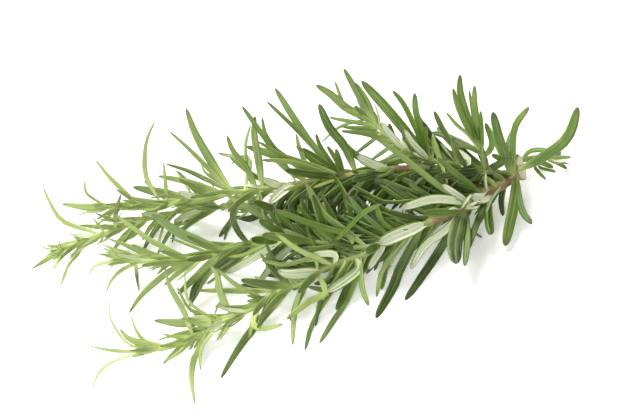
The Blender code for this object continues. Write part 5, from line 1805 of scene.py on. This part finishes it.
@dataclass
class Tufts:
    """The small leaves that stand in the leaf axils and at the tips of the shoots."""

    plan: Plan
    random: random.Random
    axil_chance: float = 0.7
    axil_leaves: tuple[int, int] = (2, 4)
    axil_length: Span = (5.0 * MM, 12.0 * MM)
    tip_leaves: int = 6
    tip_length: Span = (5.0 * MM, 9.0 * MM)
    width: Span = (1.0 * MM, 1.7 * MM)
    spread: float = 0.45
    axil_pitch: Span = (0.35, 0.85)
    tip_spread: float = 0.3
    tip_pitch: Span = (0.1, 0.4)
    tip_share: float = 0.985
    bow: float = 0.09
    age: float = 0.45
    cover: float = 6.0
    cover_shares: Row = (0.5, 0.8, 1.0)

    def small_leaf(self, stem: Stem, share: float, turn: float, pitch: float,
                   length: float) -> Blade | None:
        """Return one small leaf.

        Args:
            stem: The stem that it grows on.
            share: Where on the stem it stands.
            turn: The way it points round the stem.
            pitch: How far it leans from the stem.
            length: Its length.

        Returns:
            The leaf, or None where it would stand out of the sprig's outline.
        """
        root, heading = stem.line.at(share), stem.line.heading(share)
        outward = Matrix.Rotation(turn, 3, heading) @ square_to(DRAWING.upward, heading)
        reach = math.cos(pitch) * heading + math.sin(pitch) * outward
        rise = self.bow * length * square_to(outward, reach)
        line = Line(arched(root, root + length * reach, rise))
        if not self.plan.is_covered(line, self.cover_shares, self.cover):
            return None
        width = self.random.uniform(*self.width)
        age = self.age * stem.age(share)
        return Blade(line, width, square_to(heading, reach), Growth.TUFT, age)

    def of(self, shoot: Shoot) -> list[Blade]:
        """Return a shoot's small leaves."""
        stem = self.plan.stems[shoot.name]
        made = []
        for share in self.plan.node_shares[shoot.name]:
            side = self.random.uniform(0.0, 2.0 * math.pi)
            if self.random.random() > self.axil_chance:
                continue
            for _ in range(self.random.randint(*self.axil_leaves)):
                turn = side + self.random.uniform(-self.spread, self.spread)
                pitch = self.random.uniform(*self.axil_pitch)
                length = self.random.uniform(*self.axil_length)
                made.append(self.small_leaf(stem, share, turn, pitch, length))
        for index in range(self.tip_leaves):
            turn = 2.0 * math.pi * index / self.tip_leaves
            turn += self.random.uniform(-self.tip_spread, self.tip_spread)
            length = self.random.uniform(*self.tip_length)
            pitch = self.random.uniform(*self.tip_pitch)
            made.append(self.small_leaf(stem, self.tip_share, turn, pitch, length))
        return [blade for blade in made if blade]


@dataclass
class InnerLeaves:
    """The leaves of short side shoots, which fill the sprig where it is dense, behind the rest.

    A dense place is a drawn circle: drawing x and y of its middle and its radius.
    """

    plan: Plan
    random: random.Random
    dense: tuple[Triple, ...] = (
        (485, 180, 16), (452, 190, 22), (420, 195, 26), (385, 200, 30), (350, 205, 30), (315, 208, 26),
        (285, 212, 18), (340, 240, 24), (375, 235, 24), (300, 242, 16), (268, 250, 14), (405, 225, 20),
        (430, 215, 16), (300, 264, 15), (330, 270, 14), (382, 262, 14), (400, 165, 14), (440, 160, 14),
        (470, 152, 12), (450, 150, 14), (430, 150, 12), (500, 162, 10), (360, 262, 14), (275, 268, 12))
    spacing: float = 0.65 * MM
    length: Span = (11.0 * MM, 25.0 * MM)
    width: Span = (1.5 * MM, 2.6 * MM)
    crossing: Row = (0.1, 0.2, 0.3, 0.4, 0.5, 0.6, 0.7, 0.8, 0.9, 1.0)
    pitch: Span = (0.4, 1.2)
    bow: Span = (0.02, 0.1)
    dense_shares: Row = (0.5, 0.75, 1.0)
    least_age: float = 0.3
    most_towards_eye: Row = (0.2, 0.55)
    tries: int = 8

    def is_dense(self, place: Vector) -> bool:
        """Return whether a place is drawn where the sprig is dense."""
        spot = DRAWING.drawn(place)
        return any(math.hypot(spot.x - x, spot.y - y) < radius for x, y, radius in self.dense)

    def one(self, stem: Stem, share: float) -> Blade | None:
        """Return one leaf.

        Args:
            stem: The stem that it grows on.
            share: Where on the stem it stands.

        Returns:
            The leaf, or None where it would leave the dense places.
        """
        heading = stem.line.heading(share)
        turn = self.random.uniform(0.0, 2.0 * math.pi)
        pitch = self.random.uniform(*self.pitch)
        length = self.random.uniform(*self.length)
        outward = Matrix.Rotation(turn, 3, heading) @ square_to(DRAWING.upward, heading)
        reach = math.cos(pitch) * heading + math.sin(pitch) * outward
        if reach.dot(DRAWING.towards_eye) > self.random.choice(self.most_towards_eye):
            return None
        root = stem.line.at(share)
        rise = self.random.uniform(*self.bow) * length * square_to(heading, reach)
        line = Line(arched(root, root + length * reach, rise))
        if not all(self.is_dense(line.at(part)) for part in self.dense_shares):
            return None
        if self.plan.spoils_front(line, False, self.crossing) or self.plan.hides_bark(line):
            return None
        # Most inner leaves take the darker tones: painted shade, as they lie deep inside the sprig where
        # shade falls
        tone = self.random.choice((Tone.PLAIN, Tone.DEEP, Tone.DARK, Tone.DARK))
        return Blade(line, self.random.uniform(*self.width), square_to(heading, reach),
                     Growth.INNER, stem.age(share), tone)

    def of(self, shoot: Shoot) -> list[Blade]:
        """Return a shoot's inner leaves."""
        stem = self.plan.stems[shoot.name]
        made = []
        steps = int((1.0 - stem.start) * stem.line.length / self.spacing)
        for step in range(1, steps):
            share = stem.start + (1.0 - stem.start) * step / steps
            if stem.age(share) < self.least_age:
                break
            tries = (self.one(stem, share) for _ in range(self.tries))
            made.append(next((blade for blade in tries if blade), None))
        return [blade for blade in made if blade]


class Sprig:
    """The whole sprig: each shoot's leaves and bark, and the heel."""

    TAN = {"leader_shoot": ((0.0, 0.27, 1.0), (0.44, 0.53, 0.35)),
           "back_limb": ((0.0, 0.2, 0.35), (0.26, 0.3, 1.0), (0.4, 0.54, 0.7))}
    LEAST_AGE = {"upper_spray": 0.65, "upright_spray": 0.85, "heel_spray": 0.9, "back_limb": 0.2}

    def __init__(self, shoots: tuple[Shoot, ...]) -> None:
        """Plan the sprig and make its finishes.

        Args:
            shoots: The shoots, the leader first.
        """
        self.plan = Plan(shoots)
        self.tufts = Tufts(self.plan, random.Random(SEED + 1))
        self.inner = InnerLeaves(self.plan, random.Random(SEED + 2))
        self.tree = SweepTree("sweep_along_lines")
        points = {"full": FULL_LEAF.section(), "broad": BROAD_LEAF.section(),
                  "inner": INNER_LEAF.section(), "small": SMALL_LEAF.section(), "stem": Bark.section()}
        self.sections = {key: section_object(key + "_section", rim) for key, rim in points.items()}
        self.leaf_finishes = (leaf_surface("leaf_upper_side", UPPER_SIDE, LeafPattern(0.16)),
                              leaf_surface("leaf_felt_side", FELT_SIDE, LeafPattern(0.22)))
        bark = BarkFinish()
        self.bark = bark_surface(bark)
        self.wood = wood_surface(bark)

    def declare(self, obj: Object, node: str) -> None:
        """Place a piece on the body, in the stead of a node."""
        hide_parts(node)
        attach(obj, "root")
        LOG.info("%s: %d faces", obj.name, len(obj.data.polygons))

    def build_shoot(self, shoot: Shoot, seed: int) -> None:
        """Build one shoot's leaves and bark."""
        blades = list(self.plan.blades[shoot.name])
        blades += [blade for owner, blade in self.plan.left_out if owner is shoot]
        least_age = self.LEAST_AGE.get(shoot.name, 0.0)
        foliage = Foliage(shoot.name, blades, self.inner.of(shoot), self.tufts.of(shoot), least_age,
                          random.Random(seed))
        self.declare(foliage.build(self.tree, self.sections, self.leaf_finishes), shoot.name)
        stem = self.plan.stems[shoot.name]
        start = stem.start if shoot.parent else Heel.OVERLAP / stem.line.length
        bark = Bark(stem, self.plan.node_shares[shoot.name], self.TAN.get(shoot.name, ()), start,
                    least_age)
        mesh = self.tree.sweep(shoot.name + "_bark", bark.skeleton().mesh("route"),
                               self.sections["stem"], (self.bark, self.bark))
        self.declare(joined_piece(shoot.name + "_bark", [mesh]), shoot.name)

    def build(self) -> None:
        """Build every piece of the sprig."""
        for index, shoot in enumerate(self.plan.shoots):
            self.build_shoot(shoot, SEED + 10 + index)
        leader = self.plan.shoots[0].name
        heel = Heel(self.plan.stems[leader]).build()
        heel.materials.append(self.bark)
        heel.materials.append(self.wood)
        self.declare(joined_piece("cut_heel", [heel]), leader)
        for section in self.sections.values():
            bpy.data.objects.remove(section)


@dataclass(frozen=True)
class Studio:
    """The floor, the lights and the camera."""

    floor_half: float = 3.0
    floor_colour: Triple = (0.93, 0.93, 0.92)
    floor_glow: float = 0.28
    sky_strength: float = 0.20
    key_power: float = 46.0
    key_size: float = 1.25
    fill_power: float = 13.0
    fill_size: float = 1.0
    fill_place: Triple = (-0.35, -1.1, 0.8)
    key_place: Triple = (-0.75, 0.75, 1.35)
    lens: float = 200.0
    sensor: float = 36.0

    def build(self) -> None:
        """Make the floor, the lights and the camera."""
        self.floor()
        self.sky()
        self.lamp("key", self.key_power, self.key_size, self.key_place)
        self.lamp("fill", self.fill_power, self.fill_size, self.fill_place)
        self.camera()
        bpy.context.scene.view_settings.view_transform = "Standard"

    def floor(self) -> None:
        """Lay a plain pale floor."""
        half = self.floor_half
        mesh = bpy.data.meshes.new("floor")
        mesh.from_pydata([(-half, -half, 0.0), (half, -half, 0.0), (half, half, 0.0), (-half, half, 0.0)],
                         [], [(0, 1, 2, 3)])
        obj = added("floor", mesh)
        shader = Shader("pale_floor")
        shader.paint(self.floor_colour, 0.9)
        shader.plug(self.floor_colour, shader.surface.inputs["Emission Color"])
        shader.surface.inputs["Emission Strength"].default_value = self.floor_glow
        mesh.materials.append(shader.material)

    def sky(self) -> None:
        """Light the scene evenly from all sides."""
        world = bpy.data.worlds.new("studio")
        world.use_nodes = True
        background = world.node_tree.nodes["Background"]
        background.inputs["Color"].default_value = (1.0, 1.0, 1.0, 1.0)
        background.inputs["Strength"].default_value = self.sky_strength
        bpy.context.scene.world = world

    def lamp(self, name: str, power: float, size: float, place: Triple) -> None:
        """Hang a large soft round light that shines on the sprig."""
        data = bpy.data.lights.new(name, "AREA")
        data.shape = "DISK"
        data.size = size
        data.energy = power
        obj = added(name, data)
        obj.location = place
        obj.rotation_euler = (-Vector(place)).to_track_quat("-Z", "Y").to_euler()

    def camera(self) -> None:
        """Look at the sprig as the photograph does."""
        data = bpy.data.cameras.new("camera")
        data.lens = self.lens
        data.sensor_width = self.sensor
        obj = added("camera", data)
        obj.location = DRAWING.eye
        obj.rotation_euler = (0.5 * math.pi - DRAWING.elevation, 0.0, 0.0)
        bpy.context.scene.camera = obj


def keep_sizes() -> None:
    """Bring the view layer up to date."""
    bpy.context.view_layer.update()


def main() -> None:
    """Build the sprig and its studio."""
    logging.basicConfig(level=logging.INFO, format="%(name)s: %(message)s")
    Sprig((LEADER, MIDDLE, BACK, LOW, UPPER_SPRAY, UPRIGHT_SPRAY, HEEL_SPRAY)).build()
    Studio().build()
    keep_sizes()


if __name__ == "__main__":
    main()
